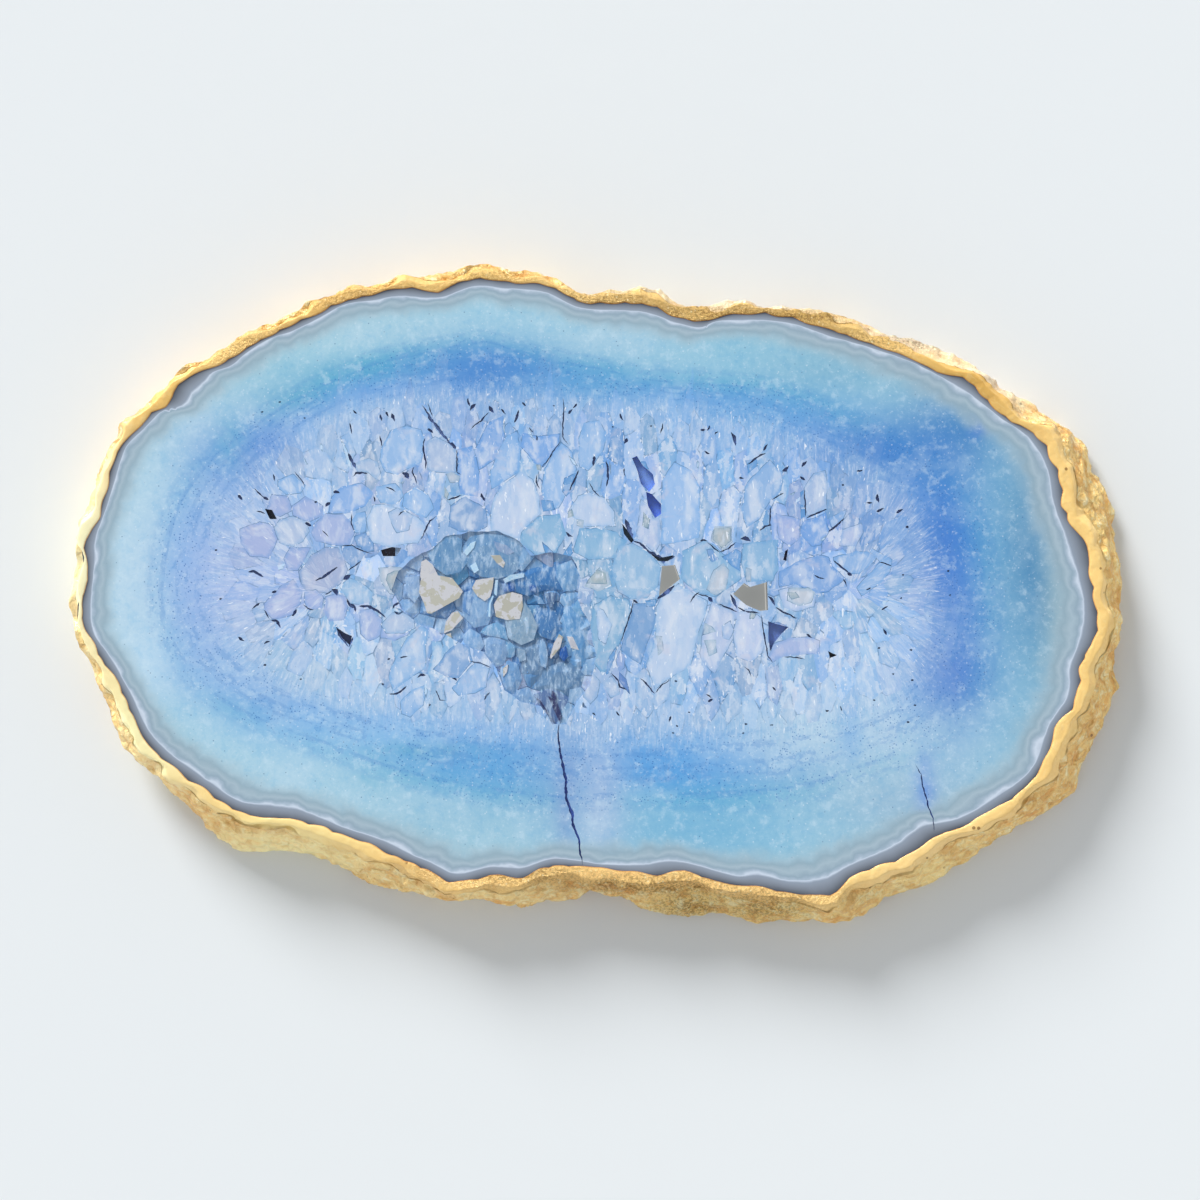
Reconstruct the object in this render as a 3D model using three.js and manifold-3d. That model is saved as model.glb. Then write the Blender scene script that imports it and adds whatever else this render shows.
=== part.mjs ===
// A large polished slice of blue agate geode with a gilded natural edge, lying flat.
// Millimetres, +Z up, the origin under the middle of the slice on the surface it rests on.
import * as THREE from "three";
import { mergeVertices } from "three/addons/utils/BufferGeometryUtils.js";
import Module from "manifold-3d";

// Driving dimensions
const SLICE_LENGTH = 250;
const THICKNESS = 13;
const GAP = 0.4;
const GILDING = 1.2;
const LIP_WIDTH = 2.6;
const LIP_THICKNESS = 0.9;
const LIP_PROUD = 0.25;
const POCKET_FLOOR = 2.6;
const CRUST_SHEET = 1.4;
const CRACK_WIDTH = 0.9;
const STATIONS = 200;

// The rim leans out where much of its side shows from above, and in where none of it does.
const WIDE_SIDE = 6;
const HIGHEST_WAIST = 0.82 * THICKNESS;
const LOWEST_WAIST = 0.24 * THICKNESS;
const UNDERCUT_OF_WIDE_SIDE = 1.8;
const UNDERCUT_OF_PLAIN_SIDE = 4;
const LUMP_HEIGHT = 1.3;
const LUMP_DEPTH = 0.35;

// Picture points of the slice seen from above: x to the right, y down, in picture pixels.
const PICTURE_LEFT = 71;
const PICTURE_RIGHT = 1128;
const PICTURE_CENTRE_Y = 595.5;

const CUT_EDGE = [
  [84, 540], [97, 519], [104, 495], [113, 462], [127, 437], [145, 417], [168, 402], [180, 383],
  [202, 370], [226, 361], [252, 345], [284, 328], [307, 317], [330, 306], [368, 295], [400, 287],
  [440, 290], [470, 278], [505, 281], [545, 284], [583, 302], [615, 302], [650, 305], [680, 315],
  [703, 321], [740, 312], [785, 315], [820, 326], [855, 338], [903, 354], [938, 372], [966, 379],
  [987, 400], [1017, 425], [1034, 430], [1052, 455], [1062, 484], [1065, 511], [1085, 541],
  [1093, 583], [1097, 637], [1083, 660], [1078, 700], [1060, 726], [1047, 759], [1025, 788],
  [980, 820], [940, 835], [900, 860], [855, 875], [829, 897], [790, 893], [750, 887], [718, 882],
  [690, 874], [640, 876], [588, 868], [548, 867], [521, 879], [487, 877], [455, 884], [420, 867],
  [380, 851], [325, 829], [290, 820], [250, 817], [210, 795], [165, 762], [140, 732], [122, 692],
  [97, 652], [79, 614], [88, 580],
];

const WIDEST_OUTLINE = [
  [71, 612], [76, 565], [81, 520], [95, 490], [110, 450], [128, 418], [152, 400], [176, 378],
  [195, 362], [230, 343], [268, 325], [300, 311], [335, 292], [380, 285], [420, 275], [450, 275],
  [475, 266], [515, 273], [555, 280], [583, 293], [625, 290], [665, 296], [700, 309], [730, 302],
  [780, 307], [830, 312], [865, 322], [890, 334], [925, 342], [970, 364], [1000, 385], [1030, 400],
  [1060, 420], [1082, 432], [1097, 470], [1118, 510], [1119, 540], [1128, 577], [1124, 600],
  [1128, 628], [1119, 660], [1120, 698], [1099, 738], [1086, 770], [1075, 800], [1045, 818],
  [1000, 840], [960, 868], [920, 892], [890, 897], [865, 921], [820, 923], [765, 925], [725, 917],
  [690, 924], [655, 914], [620, 898], [593, 892], [570, 904], [548, 902], [530, 911], [500, 903],
  [462, 902], [420, 894], [372, 888], [335, 866], [300, 857], [262, 853], [227, 851], [205, 828],
  [175, 795], [140, 765], [118, 735], [100, 685], [84, 656],
];

// The open hollow in the middle, and the places where the slice is open right through.
const HOLLOW = [
  [398, 572], [415, 557], [432, 549], [446, 536], [470, 532], [497, 531], [520, 541], [530, 556],
  [550, 552], [572, 556], [580, 575], [578, 600], [590, 625], [596, 655], [590, 685], [577, 702],
  [566, 724], [553, 724], [541, 706], [522, 702], [505, 690], [496, 668], [484, 652], [462, 644],
  [438, 630], [418, 624], [402, 609], [392, 590],
];
const THROUGH_HOLES = [
  [[662, 566], [675, 565], [680, 579], [659, 596]],
  [[733, 594], [744, 583], [750, 587], [767, 582], [768, 610], [760, 611], [746, 605]],
];

// Small open pits between the cut crystals: outline and depth in millimetres.
const PITS = [
  { outline: [[633, 459], [640, 457], [656, 484], [651, 494], [659, 516], [652, 517], [643, 495]], depth: 6 },
  { outline: [[768, 621], [788, 627], [779, 639], [770, 651]], depth: 4 },
  { outline: [[381, 550], [392, 547], [401, 548], [397, 556], [383, 556]], depth: 4 },
  { outline: [[262, 509], [269, 511], [281, 518], [277, 522], [266, 517]], depth: 3 },
  { outline: [[828, 651], [835, 651], [836, 657], [830, 658]], depth: 3 },
  { outline: [[343, 635], [347, 629], [354, 634], [352, 645], [347, 644]], depth: 3 },
  { outline: [[622, 524], [628, 529], [634, 543], [629, 544], [622, 533]], depth: 4 },
  { outline: [[648, 551], [660, 558], [674, 555], [668, 563], [656, 563]], depth: 4 },
  { outline: [[785, 551], [788, 549], [786, 563], [782, 561]], depth: 3 },
  { outline: [[386, 415], [400, 417], [399, 420], [387, 419]], depth: 2 },
  { outline: [[425, 429], [437, 432], [436, 436], [426, 433]], depth: 2 },
  { outline: [[511, 416], [523, 417], [522, 421], [512, 420]], depth: 2 },
];

// Natural cracks that open a little at the polished face.
const CRACKS = [
  { line: [[559, 719], [558, 751], [566, 798], [573, 822], [580, 850], [583, 866]], depth: 5 },
  { line: [[915, 764], [927, 797], [934, 830]], depth: 3 },
];

// Crystals of the hollow: base point, the point its axis leans toward, width and length in mm.
// One whose length reaches past the face is cut flat with it.
const CRYSTALS = [
  { base: [436, 598], toward: [440, 596], width: 11, length: 16 },
  { base: [482, 590], toward: [482, 594], width: 6, length: 16 },
  { base: [509, 609], toward: [509, 607], width: 8, length: 16 },
  { base: [413, 592], toward: [440, 594], width: 6, length: 7 },
  { base: [452, 560], toward: [470, 590], width: 9, length: 8 },
  { base: [484, 553], toward: [490, 585], width: 10, length: 9 },
  { base: [510, 562], toward: [518, 590], width: 8, length: 8 },
  { base: [538, 572], toward: [530, 600], width: 9, length: 6 },
  { base: [562, 573], toward: [545, 600], width: 7, length: 9 },
  { base: [556, 604], toward: [540, 615], width: 8, length: 5 },
  { base: [463, 618], toward: [475, 605], width: 7, length: 8 },
  { base: [447, 622], toward: [460, 610], width: 5, length: 7 },
  { base: [488, 634], toward: [500, 620], width: 8, length: 9 },
  { base: [512, 645], toward: [520, 625], width: 8, length: 7 },
  { base: [536, 634], toward: [535, 620], width: 6, length: 4 },
  { base: [556, 650], toward: [557, 642], width: 5, length: 15 },
  { base: [572, 628], toward: [550, 625], width: 7, length: 8 },
  { base: [582, 655], toward: [560, 645], width: 8, length: 9 },
  { base: [516, 672], toward: [525, 650], width: 8, length: 9 },
  { base: [537, 664], toward: [540, 645], width: 7, length: 6 },
  { base: [560, 674], toward: [555, 655], width: 7, length: 7 },
  { base: [579, 682], toward: [565, 665], width: 6, length: 9 },
  { base: [534, 692], toward: [542, 675], width: 6, length: 9 },
  { base: [554, 700], toward: [553, 685], width: 6, length: 8 },
];

const mmPerPixel = SLICE_LENGTH / (PICTURE_RIGHT - PICTURE_LEFT);
const pictureCentreX = (PICTURE_LEFT + PICTURE_RIGHT) / 2;

const wasm = await Module();
wasm.setup();

function place([pixelX, pixelY]) {
  return new THREE.Vector2((pixelX - pictureCentreX) * mmPerPixel, (PICTURE_CENTRE_Y - pixelY) * mmPerPixel);
}

function smoothOutline(pixels) {
  const knots = pixels.map(place).map((p) => new THREE.Vector3(p.x, p.y, 0));
  return new THREE.CatmullRomCurve3(knots, true, "centripetal");
}

// How far out from the origin a closed line lies in the direction of an angle.
function reach(line, angle) {
  const ray = new THREE.Vector2(Math.cos(angle), Math.sin(angle));
  let farthest = 0;
  line.forEach((start, i) => {
    const end = line[(i + 1) % line.length];
    const sideOfStart = ray.cross(start);
    const sideOfEnd = ray.cross(end);
    if (sideOfStart > 0 === sideOfEnd > 0) return;
    const share = sideOfStart / (sideOfStart - sideOfEnd);
    farthest = Math.max(farthest, ray.dot(start) + share * (ray.dot(end) - ray.dot(start)));
  });
  return farthest;
}

// The measures of the edge at each station round the slice.
function edgeStations() {
  const cutCurve = smoothOutline(CUT_EDGE);
  const cutLine = cutCurve.getPoints(CUT_EDGE.length * 8);
  const wideLine = smoothOutline(WIDEST_OUTLINE).getPoints(WIDEST_OUTLINE.length * 8);
  const spaced = cutCurve.getSpacedPoints(STATIONS).slice(0, STATIONS);
  const angles = spaced.map((p) => Math.atan2(p.y, p.x)).sort((a, b) => a - b);
  return angles.map((angle, i) => {
    const cut = reach(cutLine, angle);
    const wide = Math.max(reach(wideLine, angle), cut + 1.8);
    const lip = Math.min(cut + LIP_WIDTH, wide - 0.3);
    const lean = THREE.MathUtils.clamp((wide - lip) / WIDE_SIDE, 0, 1);
    return {
      angle,
      cut,
      lip,
      wide,
      foot: wide - THREE.MathUtils.lerp(UNDERCUT_OF_PLAIN_SIDE, UNDERCUT_OF_WIDE_SIDE, lean),
      waist: THREE.MathUtils.lerp(HIGHEST_WAIST, LOWEST_WAIST, lean),
      lumpiness: 0.3 + 0.7 * lean,
      number: i,
    };
  });
}

// How far the rough side stands out of or into its plain slope at a station and a level.
function lump(station, level) {
  const wave = 43758.5453 * Math.sin(12.9898 * Math.ceil(station.number / 1.5) + 78.233 * level);
  return station.lumpiness * ((wave - Math.floor(wave)) * (LUMP_HEIGHT + LUMP_DEPTH) - LUMP_DEPTH);
}

function at(station, radius, height) {
  return new THREE.Vector3(radius * Math.cos(station.angle), radius * Math.sin(station.angle), height);
}

// One closed skin over rings of points, each face split along its shorter diagonal.
// Without caps the last ring joins the first.
function skinOver(rings, capped) {
  const count = rings[0].length;
  const points = rings.flat();
  const index = [];
  const bands = capped ? rings.length - 1 : rings.length;
  for (let ring = 0; ring < bands; ring++) {
    const above = ((ring + 1) % rings.length) * count;
    for (let i = 0; i < count; i++) {
      const next = (i + 1) % count;
      const corners = [ring * count + i, ring * count + next, above + next, above + i];
      const [a, b, c, d] = corners.map((corner) => points[corner]);
      const order = a.distanceTo(c) < b.distanceTo(d) ? [0, 1, 2, 0, 2, 3] : [0, 1, 3, 1, 2, 3];
      index.push(...order.map((corner) => corners[corner]));
    }
  }
  if (capped) {
    const flat = (ring) => ring.map((p) => new THREE.Vector2(p.x, p.y));
    const last = (rings.length - 1) * count;
    THREE.ShapeUtils.triangulateShape(flat(rings[0]), []).forEach(([a, b, c]) => index.push(a, c, b));
    THREE.ShapeUtils.triangulateShape(flat(rings.at(-1)), []).forEach(([a, b, c]) =>
      index.push(last + a, last + b, last + c),
    );
  }
  return new THREE.BufferGeometry().setFromPoints(points).setIndex(index);
}

function solid(geometry) {
  const bare = geometry.clone();
  bare.deleteAttribute("normal");
  bare.deleteAttribute("uv");
  const merged = mergeVertices(bare, 1e-3);
  const vertProperties = new Float32Array(merged.attributes.position.array);
  const triVerts = new Uint32Array(merged.index.array);
  return new wasm.Manifold(new wasm.Mesh({ numProp: 3, vertProperties, triVerts }));
}

function geometryOf(made) {
  const { vertProperties, triVerts } = made.getMesh();
  const geometry = new THREE.BufferGeometry();
  geometry.setAttribute("position", new THREE.BufferAttribute(vertProperties, 3));
  geometry.setIndex(new THREE.BufferAttribute(triVerts, 1));
  return geometry;
}

// An upright prism over an outline of points, whichever way round they run.
function prism(outline, bottom, top) {
  const geometry = new THREE.ExtrudeGeometry(new THREE.Shape(outline), {
    depth: top - bottom,
    bevelEnabled: false,
  });
  return solid(geometry.translate(0, 0, bottom));
}

// The outline moved inwards by a distance.
function inset(outline, distance) {
  const turn = Math.sign(THREE.ShapeUtils.area(outline));
  return outline.map((point, i) => {
    const before = outline.at(i - 1);
    const after = outline[(i + 1) % outline.length];
    const comingIn = point.clone().sub(before).normalize();
    const goingOut = after.clone().sub(point).normalize();
    const across = comingIn.add(goingOut).normalize();
    return point.clone().add(new THREE.Vector2(-across.y, across.x).multiplyScalar(turn * distance));
  });
}

// The strip that a crack takes up, pointed at both ends.
function crackOutline(line) {
  const points = line.map(place);
  const side = (sign) =>
    points.slice(1, -1).map((point, i) => {
      const along = points[i + 2].clone().sub(points[i]).normalize();
      return point.clone().add(new THREE.Vector2(-along.y, along.x).multiplyScalar((sign * CRACK_WIDTH) / 2));
    });
  return [points[0], ...side(1), points.at(-1), ...side(-1).reverse()];
}

// The stone: flat polished faces, a shoulder under the gilded lip and a rough sheared side.
function agateSlice(stations) {
  const under = THICKNESS - LIP_THICKNESS - GAP;
  const skin = GILDING + GAP;
  const rings = [
    stations.map((s) => at(s, s.foot - skin, 0)),
    stations.map((s) => at(s, s.wide - skin, s.waist)),
    stations.map((s) => at(s, s.lip - skin * 0.8, under)),
    stations.map((s) => at(s, s.cut - GAP, under)),
    stations.map((s) => at(s, s.cut - GAP, THICKNESS)),
  ];
  let stone = solid(skinOver(rings, true));
  stone = stone.subtract(prism(HOLLOW.map(place), POCKET_FLOOR, THICKNESS + 1));
  THROUGH_HOLES.forEach((hole) => {
    stone = stone.subtract(prism(hole.map(place), -1, THICKNESS + 1));
  });
  PITS.forEach(({ outline, depth }) => {
    stone = stone.subtract(prism(outline.map(place), THICKNESS - depth, THICKNESS + 1));
  });
  CRACKS.forEach(({ line, depth }) => {
    stone = stone.subtract(prism(crackOutline(line), THICKNESS - depth, THICKNESS + 1));
  });
  return geometryOf(stone);
}

// The gilding: a lip over the face's edge and a lumpy skin down the side to the resting plane.
function gildedRim(stations) {
  const top = THICKNESS + LIP_PROUD;
  const under = THICKNESS - LIP_THICKNESS;
  const between = (from, to, share) => THREE.MathUtils.lerp(from, to, share);
  const slope = (s, share) =>
    at(s, between(s.wide, s.lip, share) + lump(s, share), between(s.waist, top, 0.15 + 0.8 * share));
  const rings = [
    stations.map((s) => at(s, s.foot - GILDING, 0)),
    stations.map((s) => at(s, s.foot, 0)),
    stations.map((s) => at(s, between(s.foot, s.wide, 0.6) + lump(s, 0.1) / 2, s.waist / 2)),
    stations.map((s) => at(s, s.wide, s.waist)),
    stations.map((s) => slope(s, 0.25)),
    stations.map((s) => slope(s, 0.55)),
    stations.map((s) => slope(s, 0.85)),
    stations.map((s) => at(s, s.lip, top)),
    stations.map((s) => at(s, s.cut, top)),
    stations.map((s) => at(s, s.cut, under)),
    stations.map((s) => at(s, s.lip - GILDING * 0.7, under)),
    stations.map((s) => at(s, s.wide - GILDING, s.waist)),
  ];
  return skinOver(rings, false);
}

// A six-sided quartz point standing on its base and leaning toward another point.
function crystal({ base, toward, width, length }, i) {
  const radius = width / 2;
  const tip = width * 0.7;
  const profile = [
    new THREE.Vector2(0, 0),
    new THREE.Vector2(radius * 0.8, 0),
    new THREE.Vector2(radius, (length - tip) * 0.6),
    new THREE.Vector2(radius * 0.94, length - tip),
    new THREE.Vector2(0, length),
  ];
  const geometry = new THREE.LatheGeometry(profile, 6);
  const foot = place(base);
  const aim = place(toward).sub(foot);
  const axis = new THREE.Vector3(aim.x * 1.1, aim.y * 1.1, length).normalize();
  geometry.rotateY(i * 0.7);
  geometry.applyQuaternion(new THREE.Quaternion().setFromUnitVectors(new THREE.Vector3(0, 1, 0), axis));
  return solid(geometry.translate(foot.x, foot.y, POCKET_FLOOR + GAP));
}

// The crust of quartz points that lines the hollow, cut off flush with the polished face.
function quartzCrust() {
  const room = inset(HOLLOW.map(place), GAP);
  const bottom = POCKET_FLOOR + GAP;
  const grown = CRYSTALS.map(crystal).reduce(
    (crust, point) => crust.add(point),
    prism(room, bottom, bottom + CRUST_SHEET),
  );
  return geometryOf(grown.intersect(prism(room, bottom, THICKNESS)));
}

function piece(name, geometry, color, roughness, metalness) {
  const mesh = new THREE.Mesh(geometry, new THREE.MeshStandardMaterial({ color, roughness, metalness }));
  mesh.name = name;
  return mesh;
}

const stations = edgeStations();
const slice = new THREE.Group();
slice.add(
  piece("agate_slice", agateSlice(stations), 0x8fc0df, 0.15, 0),
  piece("gilded_rim", gildedRim(stations), 0xe6c47c, 0.35, 1),
  piece("quartz_crust", quartzCrust(), 0x9dbbe0, 0.1, 0),
);

export default slice;
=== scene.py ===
import math

import bpy
import numpy as np
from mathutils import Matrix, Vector, noise
from mathutils.geometry import delaunay_2d_cdt


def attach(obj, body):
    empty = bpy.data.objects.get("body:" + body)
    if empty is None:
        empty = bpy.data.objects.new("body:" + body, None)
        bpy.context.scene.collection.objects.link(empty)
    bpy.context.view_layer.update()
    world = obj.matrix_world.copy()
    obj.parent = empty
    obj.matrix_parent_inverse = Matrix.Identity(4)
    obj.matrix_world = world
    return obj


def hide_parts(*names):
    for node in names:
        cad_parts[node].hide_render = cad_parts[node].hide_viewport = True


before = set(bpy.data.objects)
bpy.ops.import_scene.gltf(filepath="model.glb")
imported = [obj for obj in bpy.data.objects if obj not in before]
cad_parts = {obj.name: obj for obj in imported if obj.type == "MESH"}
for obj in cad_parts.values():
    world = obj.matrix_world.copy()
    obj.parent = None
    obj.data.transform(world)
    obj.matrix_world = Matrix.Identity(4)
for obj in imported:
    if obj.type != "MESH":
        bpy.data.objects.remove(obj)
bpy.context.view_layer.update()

# Sizes are in millimetres. Picture points are pixels of the picture, which is 1200 wide and high.
METRE = 0.001
MM_PER_PIXEL = 250 / (1128 - 71)
PICTURE_MIDDLE = (599.5, 595.5)
THICKNESS = 13.0
LIP_TOP = 13.25
RANDOM_SEED = 7
# Without a seed the noise that moves outlines starts from another place in every run.
noise.seed_set(RANDOM_SEED)

# Closed curves through the slice, picture points, from the edge inwards.
WHITE_LINE = [
    (97, 537), (108, 505), (117, 475), (127, 447), (146, 428), (162, 412), (183, 406), (194, 392),
    (205, 382), (213, 373), (232, 366), (247, 353), (268, 340), (297, 330), (320, 318), (345, 305),
    (372, 301), (400, 297), (440, 298), (475, 287), (505, 289), (545, 293), (578, 308), (615, 311),
    (645, 313), (675, 323), (700, 328), (722, 321), (785, 323), (830, 337), (870, 348), (915, 364),
    (940, 377), (970, 395), (1000, 418), (1028, 438), (1046, 468), (1052, 500), (1064, 535),
    (1077, 575), (1083, 605), (1080, 635), (1069, 668), (1067, 695), (1048, 725), (1036, 760),
    (1018, 781), (985, 803), (955, 819), (920, 826), (893, 845), (850, 864), (825, 877), (790, 880),
    (760, 874), (735, 875), (700, 865), (672, 860), (640, 864), (605, 864), (578, 860), (552, 858),
    (521, 867), (490, 866), (457, 873), (430, 861), (410, 853), (380, 838), (342, 826), (298, 808),
    (255, 803), (237, 799), (210, 781), (170, 752), (148, 728), (132, 694), (110, 655), (94, 632),
    (92, 600), (95, 565),
]
TEAL_LINE = [
    (340, 377), (380, 361), (420, 352), (460, 343), (490, 340), (520, 352), (560, 362), (600, 368),
    (640, 378), (720, 385), (760, 388), (800, 400), (840, 420), (880, 437), (925, 460), (960, 500),
    (978, 550), (984, 600), (980, 650), (965, 700), (925, 740), (870, 765), (800, 788), (700, 796),
    (620, 796), (560, 800), (500, 792), (430, 780), (380, 766), (320, 742), (250, 716), (200, 684),
    (170, 640), (160, 600), (165, 550), (180, 500), (215, 455), (260, 422), (300, 397),
]
CRYSTAL_START = [
    (225, 560), (235, 515), (265, 470), (310, 435), (360, 412), (420, 400), (500, 400), (580, 404),
    (660, 408), (740, 424), (800, 446), (860, 470), (900, 505), (922, 550), (928, 600), (918, 650),
    (890, 690), (830, 714), (760, 720), (690, 722), (620, 728), (540, 722), (480, 715), (420, 712),
    (360, 700), (300, 680), (250, 650), (226, 610),
]
# The line that the crystals grow towards from all sides.
MIDDLE_LINE = ((330, 588), (850, 590))

HOLLOW = [
    (398, 572), (415, 557), (432, 549), (446, 536), (470, 532), (497, 531), (520, 541), (530, 556),
    (550, 552), (572, 556), (580, 575), (578, 600), (590, 625), (596, 655), (590, 685), (577, 702),
    (566, 724), (553, 724), (541, 706), (522, 702), (505, 690), (496, 668), (484, 652), (462, 644),
    (438, 630), (418, 624), (402, 609), (392, 590),
]
THROUGH_HOLES = [
    [(662, 566), (675, 565), (680, 579), (659, 596)],
    [(733, 594), (744, 583), (750, 587), (767, 582), (768, 610), (760, 611), (746, 605)],
]
# Open places in the face: depth, colour inside, outline.
PITS = [
    (1.6, (124, 160, 226), [(632, 458), (637, 456), (643, 466), (653, 474), (655, 484), (649, 492),
        (641, 484), (637, 470)]),
    (1.8, (104, 142, 222), [(646, 492), (652, 494), (661, 504), (661, 514), (655, 518), (648, 506)]),
    (1.5, (116, 142, 200), [(768, 621), (776, 624), (788, 627), (781, 634), (775, 642), (770, 651),
        (769, 640)]),
    (2.0, (62, 58, 76), [(381, 550), (392, 547), (401, 548), (397, 556), (383, 556)]),
    (3.0, (60, 78, 112), [(265, 509), (272, 510), (277, 519), (270, 519)]),
    (3.0, (50, 64, 100), [(828, 651), (832, 653), (837, 655), (830, 658)]),
    (2.5, (96, 116, 164), [(336, 627), (345, 633), (352, 636), (350, 645), (342, 638)]),
    (2.5, (66, 108, 136), [(622, 524), (627, 530), (634, 540), (631, 543), (624, 534)]),
    (2.5, (74, 116, 142), [(650, 553), (660, 558), (674, 555), (668, 561), (658, 561)]),
    (2.5, (92, 112, 172), [(785, 551), (788, 549), (786, 561), (783, 560)]),
]
# Cracks that run in from the edge: depth, width, line.
CRACKS = [
    (0.9, 0.75, [(559, 719), (558, 735), (560, 751), (563, 766), (566, 780), (566, 798), (572, 812),
        (573, 824), (579, 840), (580, 852), (583, 866)]),
    (0.8, 0.4, [(915, 764), (921, 774), (922, 784), (926, 797), (928, 806), (933, 818), (934, 832)]),
]
# The colours inside cracks, slits and through holes, and how deep the slits are.
CRACK_TONE = (72, 108, 190)
SLIT_TONE = (96, 120, 172)
# Through holes: their walls are painted this plain grey and given a painted glow, which together stand in for
# the shaded floor seen through them.
HOLE_WALL_TONE = (92, 98, 102)
SLIT_DEPTH = 0.7


def place(pixels):
    """Where picture points lie on the part."""
    points = np.array(pixels, float)
    return (points - PICTURE_MIDDLE) * (MM_PER_PIXEL, -MM_PER_PIXEL)


def smooth_loop(points, steps=8):
    """A closed Catmull-Rom curve through the points."""
    before, after = np.roll(points, 1, 0), np.roll(points, -1, 0)
    beyond = np.roll(points, -2, 0)
    out = []
    for t in np.arange(steps) / steps:
        out.append(0.5 * (2 * points + (after - before) * t
                          + (2 * before - 5 * points + 4 * after - beyond) * t ** 2
                          + (3 * points - before - 3 * after + beyond) * t ** 3))
    return np.stack(out, 1).reshape(-1, points.shape[1])


def polar(points):
    """The angle round the slice and the distance from its middle."""
    return np.arctan2(points[:, 1], points[:, 0]), np.hypot(points[:, 0], points[:, 1])


def around(angles, known, values):
    """Values at some angles, from values that are known round the slice."""
    return np.interp(angles, known, values, period=2 * math.pi)


def reach(loop, angles):
    """How far out a closed loop lies in each direction."""
    at, radius = polar(loop)
    order = np.argsort(at)
    return around(angles, at[order], radius[order])


# Corners of the frame's rim belong to one station within this angle, and lie at a level within this height.
SAME_STATION = 1e-3
LEVEL_SLACK = 0.05


def rim_stations():
    """The edge's measures round the slice, read from the frame: angle, cut, lip, wide, waist, foot."""
    points = np.array([v.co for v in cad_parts["gilded_rim"].data.vertices]) / METRE
    angles, distances = polar(points)
    order = np.argsort(angles)
    starts = np.flatnonzero(np.diff(angles[order]) > SAME_STATION) + 1
    rows = []
    for group in np.split(order, starts):
        radii, heights = distances[group], points[group, 2]
        top, bottom = heights > LIP_TOP - LEVEL_SLACK, heights < LEVEL_SLACK
        if not top.any() or not bottom.any():
            continue
        widest = radii.argmax()
        rows.append((angles[group].mean(), radii[top].min(), radii[top].max(), radii[widest],
                     heights[widest], radii[bottom].max()))
    return np.array(rows)


def stations_at(rows, angles):
    """Those measures at other angles: cut, lip, wide, waist, foot."""
    return [around(angles, rows[:, 0], rows[:, i]) for i in range(1, 6)]


def ring_points(angles, radii):
    """Points round the slice."""
    return np.column_stack((radii * np.cos(angles), radii * np.sin(angles)))


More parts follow.
